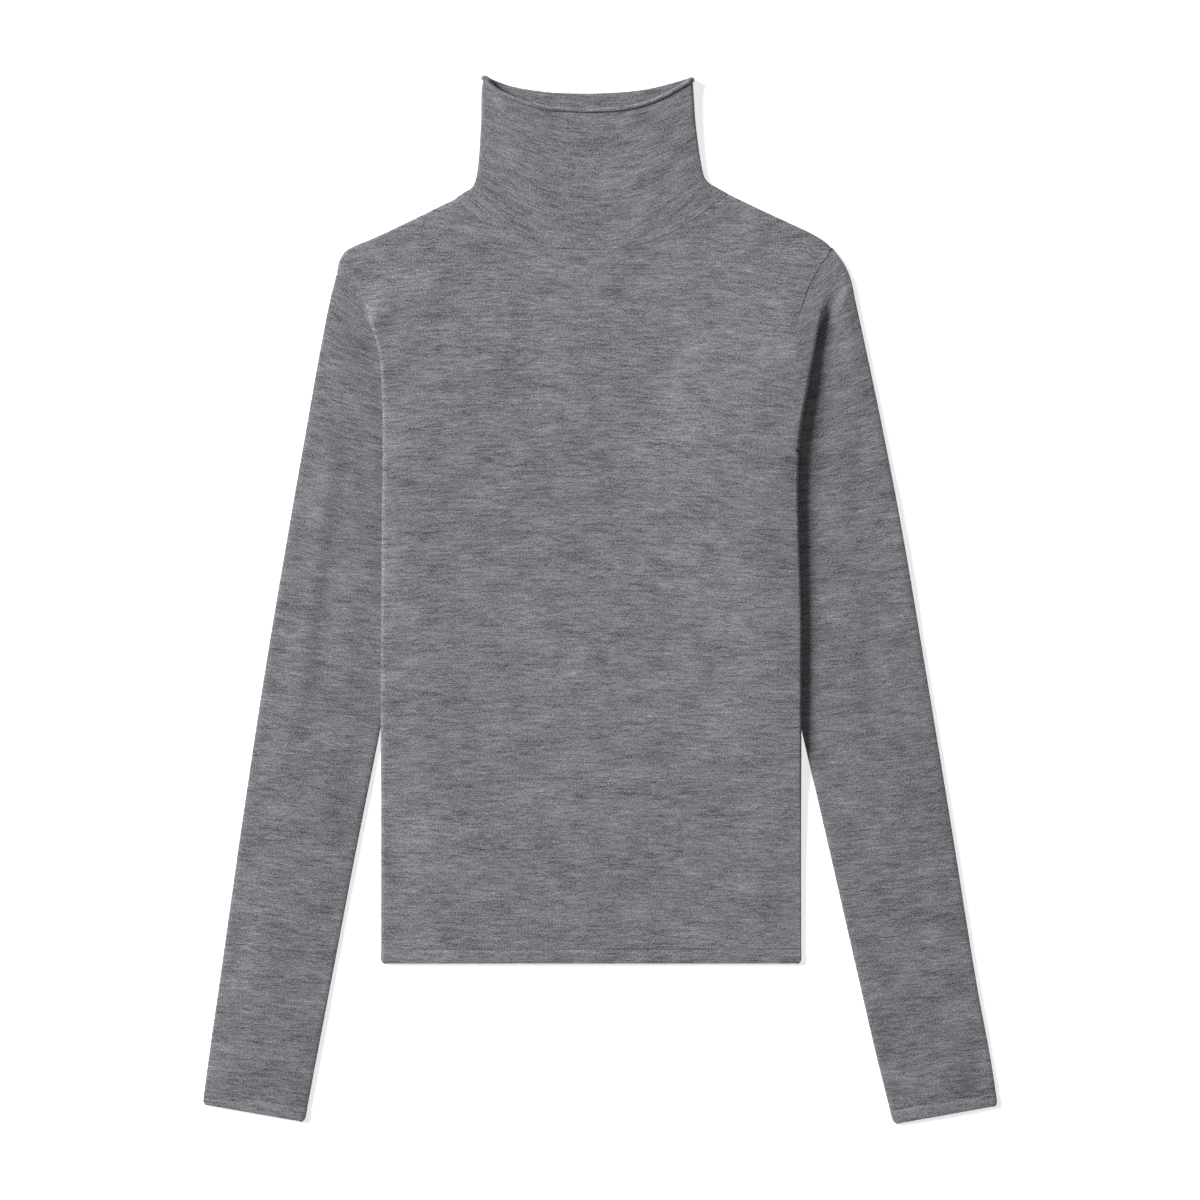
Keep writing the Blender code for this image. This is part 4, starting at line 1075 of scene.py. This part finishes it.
def collar_grid():
    """Middle surface of the funnel collar, a closed ring in every row."""
    heights = np.linspace(0, 1, COLLAR_ROWS) ** COLLAR_CROWDING
    rows = np.array([collar_row(height) for height in heights])
    along = np.diff(rows[0], axis=0, append=rows[0][:1])
    steep = np.linalg.norm(along[:, :2], axis=1) / np.maximum(np.abs(along[:, 0]), LEAST_STEP)
    steep = np.maximum(steep, np.roll(steep, 1))
    rows[0, :, 1] += SEAM_GAP * np.minimum(steep, STEEPEST_SEAM) ** 2
    return rows


def roll_grid():
    """The collar's top edge, curled outward into a narrow roll."""
    ring = collar_row(1.0)
    along = np.roll(ring, -1, axis=0) - np.roll(ring, 1, axis=0)
    along /= np.linalg.norm(along, axis=1, keepdims=True)
    up = np.array([0.0, 1.0, 0.0]) - along * along[:, 1:2]
    up /= np.linalg.norm(up, axis=1, keepdims=True)
    out = np.cross(along, up)
    half_height = cloth_settings().roll_height / MM / 2 - ROLL_WALL / 2
    full_depth = cloth_settings().roll_depth / MM / 2 - ROLL_WALL / 2
    front = smooth((ring[:, 2:] - ring[:, 2].min()) / ROLL_FRONT_RISE)
    half_depth = ROLL_THIN + (full_depth - ROLL_THIN) * front
    low = SEAM_GAP - ROLL_OVERLAP * front
    rows = [ring + up * (low + half_height * share) - out * ROLL_INSET for share in (0.0, 0.5)]
    for angle in np.radians(np.linspace(*ROLL_TURN, ROLL_STEPS)):
        rows.append(ring + up * (low + half_height * (1 + math.sin(angle)))
                    + out * (half_depth * (1 + math.cos(angle)) - ROLL_INSET))
    return np.array(rows)


# ---------------------------------------------------------------- the knit's own directions

def arcs(grid):
    """Distance across the cloth from each row's first point, square to the knit's columns."""
    steps = np.linalg.norm(np.diff(grid[..., ::2], axis=1), axis=2)
    return np.concatenate((np.zeros((len(grid), 1)), np.cumsum(steps, axis=1)), axis=1)


def across_from(grid, column):
    """Distance along each row from one of its columns."""
    run = arcs(grid)
    return run - run[:, column:column + 1]


def panel_length():
    """From the hem band's seam to the high point of the shoulder."""
    return SHOULDERS.at("y", NECK_SHARES[0]) - HEM_Y - HEM_BAND


def body_courses(grid):
    """Course lines of the body: bowed up a little, and dipping under the collar."""
    x, y = grid[..., 0] - MIDDLE_X, grid[..., 1]
    dip = NECK_DIP.at("dip", y) * (np.exp(-(x / NECK_DIP_WIDTH) ** 2 / 2) - NECK_DIP_RETURN)
    return y + dip + BODY_BOW.at("bow", y) * x ** 2


def collar_courses(grid):
    """Course lines of the collar, curved like a smile."""
    x, y = grid[..., 0] - MIDDLE_X, grid[..., 1]
    return y - COLLAR_SMILE.at("curve", y) * x ** 2


def sleeve_courses(side, grid):
    """Course lines of a sleeve, rising outward and steeper at the shoulder."""
    x, y = grid[..., 0] * inward(side), grid[..., 1]
    slope = np.tan(np.radians(SLEEVE_COURSES.at("slope", y)))
    return y - slope * (SLEEVE_OUTER[side].at("x", y) * inward(side) - x)


def sleeve_map(side, grid, before_fold):
    """Across and along a sleeve's cloth, counted from its outer fold."""
    middle = before_fold + UPPER_STEPS + BEND_STEPS // 2
    return np.dstack((across_from(grid, middle) * -inward(side), sleeve_courses(side, grid)))


def body_map(grid):
    """Across and along a panel or a hem band, counted from its middle."""
    middle = int(np.argmin(np.abs(grid[0, :, 0] - MIDDLE_X)))
    return np.dstack((across_from(grid, middle), body_courses(grid)))


def back_maps(grids):
    """Across and along the back panel; its two side parts carry on from the main one."""
    main = body_map(grids[0])
    maps = [main]
    for grid, end, way in ((grids[1], 0, 1), (grids[2], -1, -1)):
        rows = len(grid)
        run = arcs(grid)
        across = main[:rows, end, 0][:, None] - way * (run[:, -1:] - run)
        maps.append(np.dstack((across, body_courses(grid))))
    return maps


# ---------------------------------------------------------------- meshes

def deselect_all():
    """Start a step with nothing selected."""
    if bpy.context.object and bpy.context.object.mode != "OBJECT":
        bpy.ops.object.mode_set(mode="OBJECT")
    bpy.ops.object.select_all(action="DESELECT")


def make_active(obj):
    """Select one piece and nothing else."""
    deselect_all()
    obj.select_set(True)
    bpy.context.view_layer.objects.active = obj


def new_piece(name, bm, material):
    """A new object from a finished bmesh."""
    mesh = bpy.data.meshes.new(name)
    bm.to_mesh(mesh)
    bm.free()
    mesh.materials.append(material)
    obj = bpy.data.objects.new(name, mesh)
    bpy.context.scene.collection.objects.link(obj)
    return obj


def apply_modifier(obj, kind, name, **values):
    """Add a modifier and apply it."""
    make_active(obj)
    modifier = obj.modifiers.new(name, kind)
    for key, value in values.items():
        setattr(modifier, key, value)
    bpy.ops.object.modifier_apply(modifier=name)


def lay_grid(bm, grid, courses, ring):
    """Add a grid's points and faces, with the knit's directions as their map."""
    layer = bm.loops.layers.uv.verify()
    verts = [[bm.verts.new(point) for point in row] for row in np.asarray(grid) * MM]
    columns = len(verts[0])
    for i in range(len(verts) - 1):
        for j in range(columns if ring else columns - 1):
            k = (j + 1) % columns
            face = bm.faces.new((verts[i][j], verts[i][k], verts[i + 1][k], verts[i + 1][j]))
            width = courses[i, j, 0] + np.linalg.norm(grid[i][k] - grid[i][j]) if k < j else None
            for loop, (row, column) in zip(face.loops, ((i, j), (i, k), (i + 1, k), (i + 1, j))):
                u, v = courses[row, column]
                if width is not None and column == k:
                    u = width
                loop[layer].uv = (u * MM, v * MM)


def cloth_piece(name, node, grids, maps, material, wall=WALL, ring=False, length=0.0):
    """A knitted piece: its middle surface, welded from its grids and given its wall."""
    bm = bmesh.new()
    for grid, courses in zip(grids, maps):
        lay_grid(bm, grid, courses, ring)
    bmesh.ops.remove_doubles(bm, verts=bm.verts, dist=WELD * MM)
    bmesh.ops.recalc_face_normals(bm, faces=bm.faces)
    obj = new_piece(name, bm, material)
    obj.data.uv_layers[0].name = COURSE_MAP
    apply_modifier(obj, "SOLIDIFY", "Wall", thickness=wall * MM, offset=0.0, use_rim=True)
    bpy.ops.object.shade_smooth_by_angle(angle=SMOOTH_ANGLE)
    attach(obj, "root")
    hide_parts(node)


# ---------------------------------------------------------------- materials

class Wiring:
    """Adds nodes to a tree and joins them, a call for each node."""

    def __init__(self, tree):
        self.tree = tree

    def node(self, kind, inputs=(), **settings):
        """A new node with its settings and its inputs, which are values or other nodes' outputs."""
        node = self.tree.nodes.new(kind)
        for key, value in settings.items():
            setattr(node, key, value)
        for key, value in dict(inputs).items():
            if isinstance(value, bpy.types.NodeSocket):
                self.tree.links.new(value, node.inputs[key])
            else:
                node.inputs[key].default_value = value
        return node

    def math(self, operation, first, second=0.0):
        """A Math node's result."""
        return self.node("ShaderNodeMath", {0: first, 1: second}, operation=operation).outputs[0]

    def vector(self, x, y, z):
        """Three values as one vector."""
        return self.node("ShaderNodeCombineXYZ", {0: x, 1: y, 2: z}).outputs[0]

    def noise(self, vector, detail=2.0, roughness=0.5):
        """Soft noise with one cell to each unit of the vector."""
        inputs = {"Vector": vector, "Scale": 1.0, "Detail": detail, "Roughness": roughness}
        return self.node("ShaderNodeTexNoise", inputs).outputs["Fac"]

    def between(self, value, low, high):
        """A soft step from 0 to 1 between two values."""
        inputs = {"Value": value, "From Min": low, "From Max": high}
        return self.node("ShaderNodeMapRange", inputs, interpolation_type="SMOOTHSTEP").outputs[0]

    def mix(self, factor, first, second, blend="MIX"):
        """A mix of two colours, on the Mix node's sockets for colours."""
        inputs = {0: factor, 6: first, 7: second}
        return self.node("ShaderNodeMix", inputs, data_type="RGBA", blend_type=blend).outputs[2]


def new_group(name, inputs, outputs):
    """An empty node group with named inputs and outputs."""
    tree = bpy.data.node_groups.new(name, "ShaderNodeTree")
    for label, kind, default in inputs:
        tree.interface.new_socket(label, in_out="INPUT", socket_type=kind).default_value = default
    for label, kind in outputs:
        tree.interface.new_socket(label, in_out="OUTPUT", socket_type=kind)
    given = tree.nodes.new("NodeGroupInput").outputs
    return tree, Wiring(tree), given, tree.nodes.new("NodeGroupOutput").inputs


def melange_group():
    """Flecks of a melange yarn: pale and dark fibres drawn out along the courses."""
    if "melange_flecks" in bpy.data.node_groups:
        return bpy.data.node_groups["melange_flecks"]
    tree, wire, given, result = new_group(
        "melange_flecks",
        [("Map", "NodeSocketVector", (0, 0, 0)), ("Fleck Length", "NodeSocketFloat", FLECK_LENGTH),
         ("Course", "NodeSocketFloat", FLECK_HEIGHT), ("Seed", "NodeSocketFloat", 0.0)],
        [("Light", "NodeSocketFloat"), ("Dark", "NodeSocketFloat"), ("Tone", "NodeSocketFloat"),
         ("Tint", "NodeSocketFloat")])
    place = wire.node("ShaderNodeSeparateXYZ", {0: given["Map"]}).outputs
    along = wire.math("DIVIDE", place[0], given["Fleck Length"])
    up = wire.math("DIVIDE", place[1], given["Course"])

    def streaks(name):
        shift, length, height, *kind = STREAKS[name]
        place = wire.vector(wire.math("DIVIDE", along, length), wire.math("DIVIDE", up, height),
                            wire.math("ADD", given["Seed"], shift))
        return wire.math("SUBTRACT", wire.noise(place, *kind), 0.5)
    cloud = streaks("cloud")
    tone = wire.math("MULTIPLY", cloud, CLOUD_TONE)
    for name, share in TONE_SHARES.items():
        tone = wire.math("ADD", tone, wire.math("MULTIPLY", streaks(name), share))
    gathered = wire.math("MULTIPLY", cloud, CLOUD_ON_FLECKS)
    pale = wire.math("ADD", streaks("pale"), gathered)
    dark = wire.math("SUBTRACT", streaks("dark"), gathered)
    tree.links.new(wire.math("ADD", tone, 1.0), result["Tone"])
    tree.links.new(wire.between(pale, *FLECK_RANGE), result["Light"])
    tree.links.new(wire.between(dark, *FLECK_RANGE), result["Dark"])
    tree.links.new(wire.between(streaks("tint"), *TINT_RANGE), result["Tint"])
    return tree


def stitch_group():
    """Relief of plain jersey: each wale is a column of two slanted legs."""
    if "jersey_stitches" in bpy.data.node_groups:
        return bpy.data.node_groups["jersey_stitches"]
    tree, wire, given, result = new_group(
        "jersey_stitches",
        [("Map", "NodeSocketVector", (0, 0, 0)), ("Wale Pitch", "NodeSocketFloat", MM),
         ("Course Pitch", "NodeSocketFloat", MM)],
        [("Height", "NodeSocketFloat")])
    place = wire.node("ShaderNodeSeparateXYZ", {0: given["Map"]}).outputs
    wale = wire.math("FRACT", wire.math("DIVIDE", place[0], given["Wale Pitch"]))
    side = wire.math("ABSOLUTE", wire.math("SUBTRACT", wire.math("MULTIPLY", wale, 2.0), 1.0))
    course = wire.math("ADD", wire.math("DIVIDE", place[1], given["Course Pitch"]),
                       wire.math("MULTIPLY", side, LEG_SLANT))
    leg = wire.math("SINE", wire.math("MULTIPLY", wire.math("FRACT", course), math.pi))
    column = wire.math("SINE", wire.math("MULTIPLY", side, math.pi))
    relief_share = wire.math("ADD", wire.math("MULTIPLY", column, COLUMN_DEPTH), COLUMN_BASE)
    tree.links.new(wire.math("MULTIPLY", leg, relief_share), result["Height"])
    return tree


def new_material(name, finish):
    """An empty material with plain values on its shader, and the means to wire it."""
    material = bpy.data.materials.new(name)
    material.use_nodes = True
    shader = material.node_tree.nodes["Principled BSDF"]
    for key, value in finish.items():
        shader.inputs[key].default_value = value
    return material, Wiring(material.node_tree), shader.inputs


def shade(colour, share=1.0):
    """A colour made darker or lighter, with its alpha."""
    return (*[channel * share for channel in colour], 1)


def knit_material(name):
    """Grey melange jersey, in the variant of that name."""
    if name in bpy.data.materials:
        return bpy.data.materials[name]
    seed, lightness = KNITS[name]
    knit = bpy.context.scene.sweater_knit
    material, wire, inputs = new_material(name, {
        "Specular IOR Level": 0.18, "Sheen Weight": 0.10, "Sheen Roughness": 0.55})
    courses = wire.node("ShaderNodeUVMap", uv_map=COURSE_MAP).outputs[0]
    flecks = wire.node("ShaderNodeGroup", node_tree=melange_group())
    stitches = wire.node("ShaderNodeGroup", node_tree=stitch_group())
    for group in (flecks, stitches):
        wire.tree.links.new(courses, group.inputs["Map"])
    flecks.inputs["Seed"].default_value = seed
    stitches.inputs["Wale Pitch"].default_value = knit.wale_pitch
    stitches.inputs["Course Pitch"].default_value = knit.course_pitch
    colour = shade(knit.cloth_colour, lightness)
    material.diffuse_color = colour
    for output, fleck in (("Light", knit.light_colour), ("Dark", knit.dark_colour)):
        share = wire.math("MULTIPLY", flecks.outputs[output], FLECK_STRENGTH)
        colour = wire.mix(share, colour, shade(fleck))
    colour = wire.mix(1.0, colour, flecks.outputs["Tone"], "MULTIPLY")
    tint = wire.mix(flecks.outputs["Tint"], shade(knit.cool_tint), shade(knit.warm_tint))
    wire.tree.links.new(wire.mix(1.0, colour, tint, "MULTIPLY"), inputs["Base Color"])
    rough = wire.math("MULTIPLY", stitches.outputs["Height"], TOP_ROUGHNESS)
    wire.tree.links.new(wire.math("ADD", rough, KNIT_ROUGHNESS), inputs["Roughness"])
    height = wire.math("MULTIPLY", stitches.outputs["Height"], knit.stitch_relief)
    bump = wire.node("ShaderNodeBump", {"Height": height, "Distance": 1.0, "Strength": BUMP_STRENGTH})
    wire.tree.links.new(bump.outputs[0], inputs["Normal"])
    return material


def thread_material():
    """The yarn of the linking stitches, twisted and a little darker than the cloth."""
    if "linking_yarn" in bpy.data.materials:
        return bpy.data.materials["linking_yarn"]
    knit = bpy.context.scene.sweater_knit
    material, wire, inputs = new_material("linking_yarn", {"Roughness": 0.9, "Specular IOR Level": 0.2})
    place = wire.node("ShaderNodeTexCoord").outputs["Object"]
    scaled = wire.node("ShaderNodeVectorMath", {0: place, 1: YARN_GRAIN}, operation="MULTIPLY").outputs[0]
    tone = wire.between(wire.noise(scaled), *YARN_RANGE)
    dark, light = (shade(knit.cloth_colour, share) for share in YARN_SHADES)
    wire.tree.links.new(wire.mix(tone, dark, light), inputs["Base Color"])
    return material


def paper_material():
    """Pale matt paper under the sweater."""
    stage = bpy.context.scene.sweater_stage
    return new_material("pale_paper", {
        "Base Color": shade(stage.floor_colour), "Roughness": 0.9, "Specular IOR Level": 0.1,
        "Emission Color": (1, 1, 1, 1), "Emission Strength": stage.floor_glow})[0]


# ---------------------------------------------------------------- operators

class SWEATER_OT_front(bpy.types.Operator):
    """Front panel, with its sides bent down to the side folds"""
    bl_idname = "sweater.front"
    bl_label = "Front Panel"

    def execute(self, context):
        grid = front_grid()
        cloth_piece("front_knit", "front", [grid], [body_map(grid)], knit_material("melange_jersey"),
                    length=panel_length())
        return {"FINISHED"}


class SWEATER_OT_back(bpy.types.Operator):
    """Back panel, on the floor and over the two tucked sleeves"""
    bl_idname = "sweater.back"
    bl_label = "Back Panel"

    def execute(self, context):
        grids = back_grids()
        cloth_piece("back_knit", "back", grids, back_maps(grids), knit_material("melange_jersey"),
                    length=panel_length())
        return {"FINISHED"}


class SWEATER_OT_sleeves(bpy.types.Operator):
    """Both sleeves, each folded under beside its armhole seam"""
    bl_idname = "sweater.sleeves"
    bl_label = "Sleeves"

    def execute(self, context):
        for side in ("left", "right"):
            grids = sleeve_grids(side)
            maps = [sleeve_map(side, grids[0], fold_points(side)), sleeve_map(side, grids[1], 0)]
            # the sleeves get the darker copy of the knit, which is painted shade
            cloth_piece("sleeve_knit_" + side, "sleeve_" + side, grids, maps,
                        knit_material("melange_sleeve_painted_shade"), length=TIP_Y[side] - CUFF_Y[side][0])
        return {"FINISHED"}


class SWEATER_OT_cuffs(bpy.types.Operator):
    """Turned bands at the ends of both sleeves"""
    bl_idname = "sweater.cuffs"
    bl_label = "Cuff Bands"

    def execute(self, context):
        for side in ("left", "right"):
            grid = cuff_grid(side)
            cloth_piece("cuff_knit_" + side, "cuff_" + side, [grid], [sleeve_map(side, grid, 0)],
                        knit_material("melange_band"), BAND_WALL, length=CUFF_BAND)
        return {"FINISHED"}


class SWEATER_OT_hems(bpy.types.Operator):
    """Turned bands along the lower edges of the front and the back"""
    bl_idname = "sweater.hems"
    bl_label = "Hem Bands"

    def execute(self, context):
        front = front_grid()[0]
        back = back_grids()
        low_back = np.vstack((back[1][0][:-1], back[0][0], back[2][0][:-1][::-1]))
        for name, row in (("front", front), ("back", low_back)):
            grid = hem_grid(row, name == "front")
            cloth_piece("hem_knit_" + name, "hem_" + name, [grid], [body_map(grid)],
                        knit_material("melange_band"), BAND_WALL, length=HEM_BAND)
        return {"FINISHED"}


class SWEATER_OT_collar(bpy.types.Operator):
    """Funnel collar of one layer, with its top edge curled outward"""
    bl_idname = "sweater.collar"
    bl_label = "Collar"

    def execute(self, context):
        grid = collar_grid()
        maps = [np.dstack((arcs(grid), collar_courses(grid)))]
        cloth_piece("collar_knit", "collar", [grid], maps, knit_material("melange_jersey"), ring=True,
                    length=float(np.ptp(grid[..., 1])))
        roll = roll_grid()
        around = np.repeat(arcs(np.array([collar_row(1.0)])), len(roll), axis=0)
        rise = np.concatenate(([0.0], np.cumsum(np.linalg.norm(np.diff(roll[:, 0], axis=0), axis=1))))
        courses = np.dstack((around, np.repeat(rise[:, None], around.shape[1], axis=1)))
        cloth_piece("collar_roll", "collar_edge", [roll], [courses], knit_material("melange_band"),
                    ROLL_WALL, ring=True)
        return {"FINISHED"}


class SWEATER_OT_linking(bpy.types.Operator):
    """Linking stitches where the armhole and neck seams show"""
    bl_idname = "sweater.linking"
    bl_label = "Linking Stitches"

    def execute(self, context):
        stitch_row("linking_armhole_right", armhole_line(*ARMHOLE_LINKING))
        for name, ends in NECK_LINKING.items():
            stitch_row("linking_" + name, neck_line(*ends))
        return {"FINISHED"}


class SWEATER_OT_stage(bpy.types.Operator):
    """Floor, lights and the camera overhead"""
    bl_idname = "sweater.stage"
    bl_label = "Stage"

    def execute(self, context):
        stage = context.scene.sweater_stage
        deselect_all()
        bpy.ops.mesh.primitive_plane_add(size=FLOOR_SIZE, location=(0, 0, FLOOR_Z))
        floor = context.object
        floor.name = "floor"
        bpy.ops.object.transform_apply(location=True, rotation=False, scale=False)
        floor.data.materials.append(paper_material())
        add_light("key", stage.key_power)
        add_light("overhead", stage.fill_power)
        add_light("side", SIDE_LAMP_SHARE * stage.fill_power)
        set_sky(stage.sky)
        context.scene.view_settings.view_transform = "Standard"
        bpy.ops.object.camera_add(location=(0, 0, stage.camera_height), rotation=(0, 0, 0))
        camera = context.object
        camera.name = "overhead_camera"
        camera.data.sensor_width = SENSOR_WIDTH
        camera.data.lens = SENSOR_WIDTH * stage.camera_height / stage.frame_width
        context.scene.camera = camera
        return {"FINISHED"}


# ---------------------------------------------------------------- linking stitches

def armhole_line(low, high):
    """Points over the right armhole seam between two levels, one for each stitch."""
    y = np.arange(low, high, cloth_settings().stitch_pitch / MM)
    x = BODY_EDGE["right"].at("x", y)
    z = [seam_height("right", level) + WALL / 2 + STITCH_LIFT for level in y]
    return np.column_stack((x, y, z))


def neck_line(first, last):
    """Points over the neck seam between two shares of the front neck line, one for each stitch."""
    width = COLLAR_SIDES.at("right_x", 0) - COLLAR_SIDES.at("left_x", 0)
    count = round((last - first) * width * NECK_SLOPE / (cloth_settings().stitch_pitch / MM))
    points = [collar_point("front", across, 0) for across in np.linspace(first, last, count)]
    points = np.array([(x, y, Z_FRONT + WALL / 2) for x, y in points])
    points[:, 2] += body_rise(points[:, 0], points[:, 1])
    return points


def stitch_row(name, line):
    """One mesh of small oval stitches that cross a seam."""
    bm = bmesh.new()
    long, wide, high = STITCH_SIZE
    for index, (point, way) in enumerate(zip(line, np.gradient(line, axis=0))):
        turn = math.atan2(way[1], way[0]) + STITCH_SLANT
        length = long + STITCH_VARIATION * math.sin(index * STITCH_STEP)
        ball = bmesh.ops.create_uvsphere(bm, u_segments=ROUND_STEPS, v_segments=POLE_STEPS, radius=1.0)
        for vert in ball["verts"]:
            x, y, z = vert.co.x * length, vert.co.y * wide, vert.co.z * high
            vert.co = ((point[0] + x * math.cos(turn) - y * math.sin(turn)) * MM,
                       (point[1] + x * math.sin(turn) + y * math.cos(turn)) * MM, (point[2] + z) * MM)
    obj = new_piece(name, bm, thread_material())
    obj.data.shade_smooth()
    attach(obj, "root")


# ---------------------------------------------------------------- stage

def add_light(name, power):
    """A soft rectangular light that looks at the middle of the floor."""
    place, size, colour = LAMPS[name]
    data = bpy.data.lights.new(name, "AREA")
    data.shape = "RECTANGLE"
    data.size, data.size_y = size
    data.energy = power
    data.color = colour
    lamp = bpy.data.objects.new(name, data)
    bpy.context.scene.collection.objects.link(lamp)
    lamp.location = place
    lamp.rotation_euler = (-lamp.location).to_track_quat("-Z", "Y").to_euler()


def set_sky(strength):
    """Even white light all round."""
    world = bpy.data.worlds.new("sky")
    world.use_nodes = True
    background = world.node_tree.nodes["Background"]
    background.inputs["Color"].default_value = (1, 1, 1, 1)
    background.inputs["Strength"].default_value = strength
    bpy.context.scene.world = world


# ---------------------------------------------------------------- panel and start

OPERATORS = (SWEATER_OT_stage, SWEATER_OT_back, SWEATER_OT_sleeves, SWEATER_OT_cuffs, SWEATER_OT_front,
             SWEATER_OT_hems, SWEATER_OT_collar, SWEATER_OT_linking)
SETTINGS = {"sweater_cloth": SweaterClothSettings, "sweater_knit": SweaterKnitSettings,
            "sweater_stage": SweaterStageSettings}


class SWEATER_PT_pieces(bpy.types.Panel):
    """Sidebar panel with the sweater's pieces and settings"""
    bl_label = "Turtleneck Sweater"
    bl_space_type = "VIEW_3D"
    bl_region_type = "UI"
    bl_category = "Sweater"

    def draw(self, context):
        for operator in OPERATORS:
            self.layout.operator(operator.bl_idname)
        for name, group in SETTINGS.items():
            box = self.layout.box()
            for key in group.__annotations__:
                box.prop(getattr(context.scene, name), key)


def register():
    """Make the settings, the operators and the panel known to Blender."""
    for name, group in SETTINGS.items():
        bpy.utils.register_class(group)
        setattr(bpy.types.Scene, name, PointerProperty(type=group))
    for cls in (*OPERATORS, SWEATER_PT_pieces):
        bpy.utils.register_class(cls)


def unregister():
    """Take the panel, the operators and the settings away again."""
    for cls in reversed((*OPERATORS, SWEATER_PT_pieces)):
        bpy.utils.unregister_class(cls)
    for name, group in SETTINGS.items():
        delattr(bpy.types.Scene, name)
        bpy.utils.unregister_class(group)


def main():
    """Build every piece in order."""
    register()
    bpy.ops.sweater.stage()
    bpy.ops.sweater.back()
    bpy.ops.sweater.sleeves()
    bpy.ops.sweater.cuffs()
    bpy.ops.sweater.front()
    bpy.ops.sweater.hems()
    bpy.ops.sweater.collar()
    bpy.ops.sweater.linking()
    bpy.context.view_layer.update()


if __name__ == "__main__":
    main()
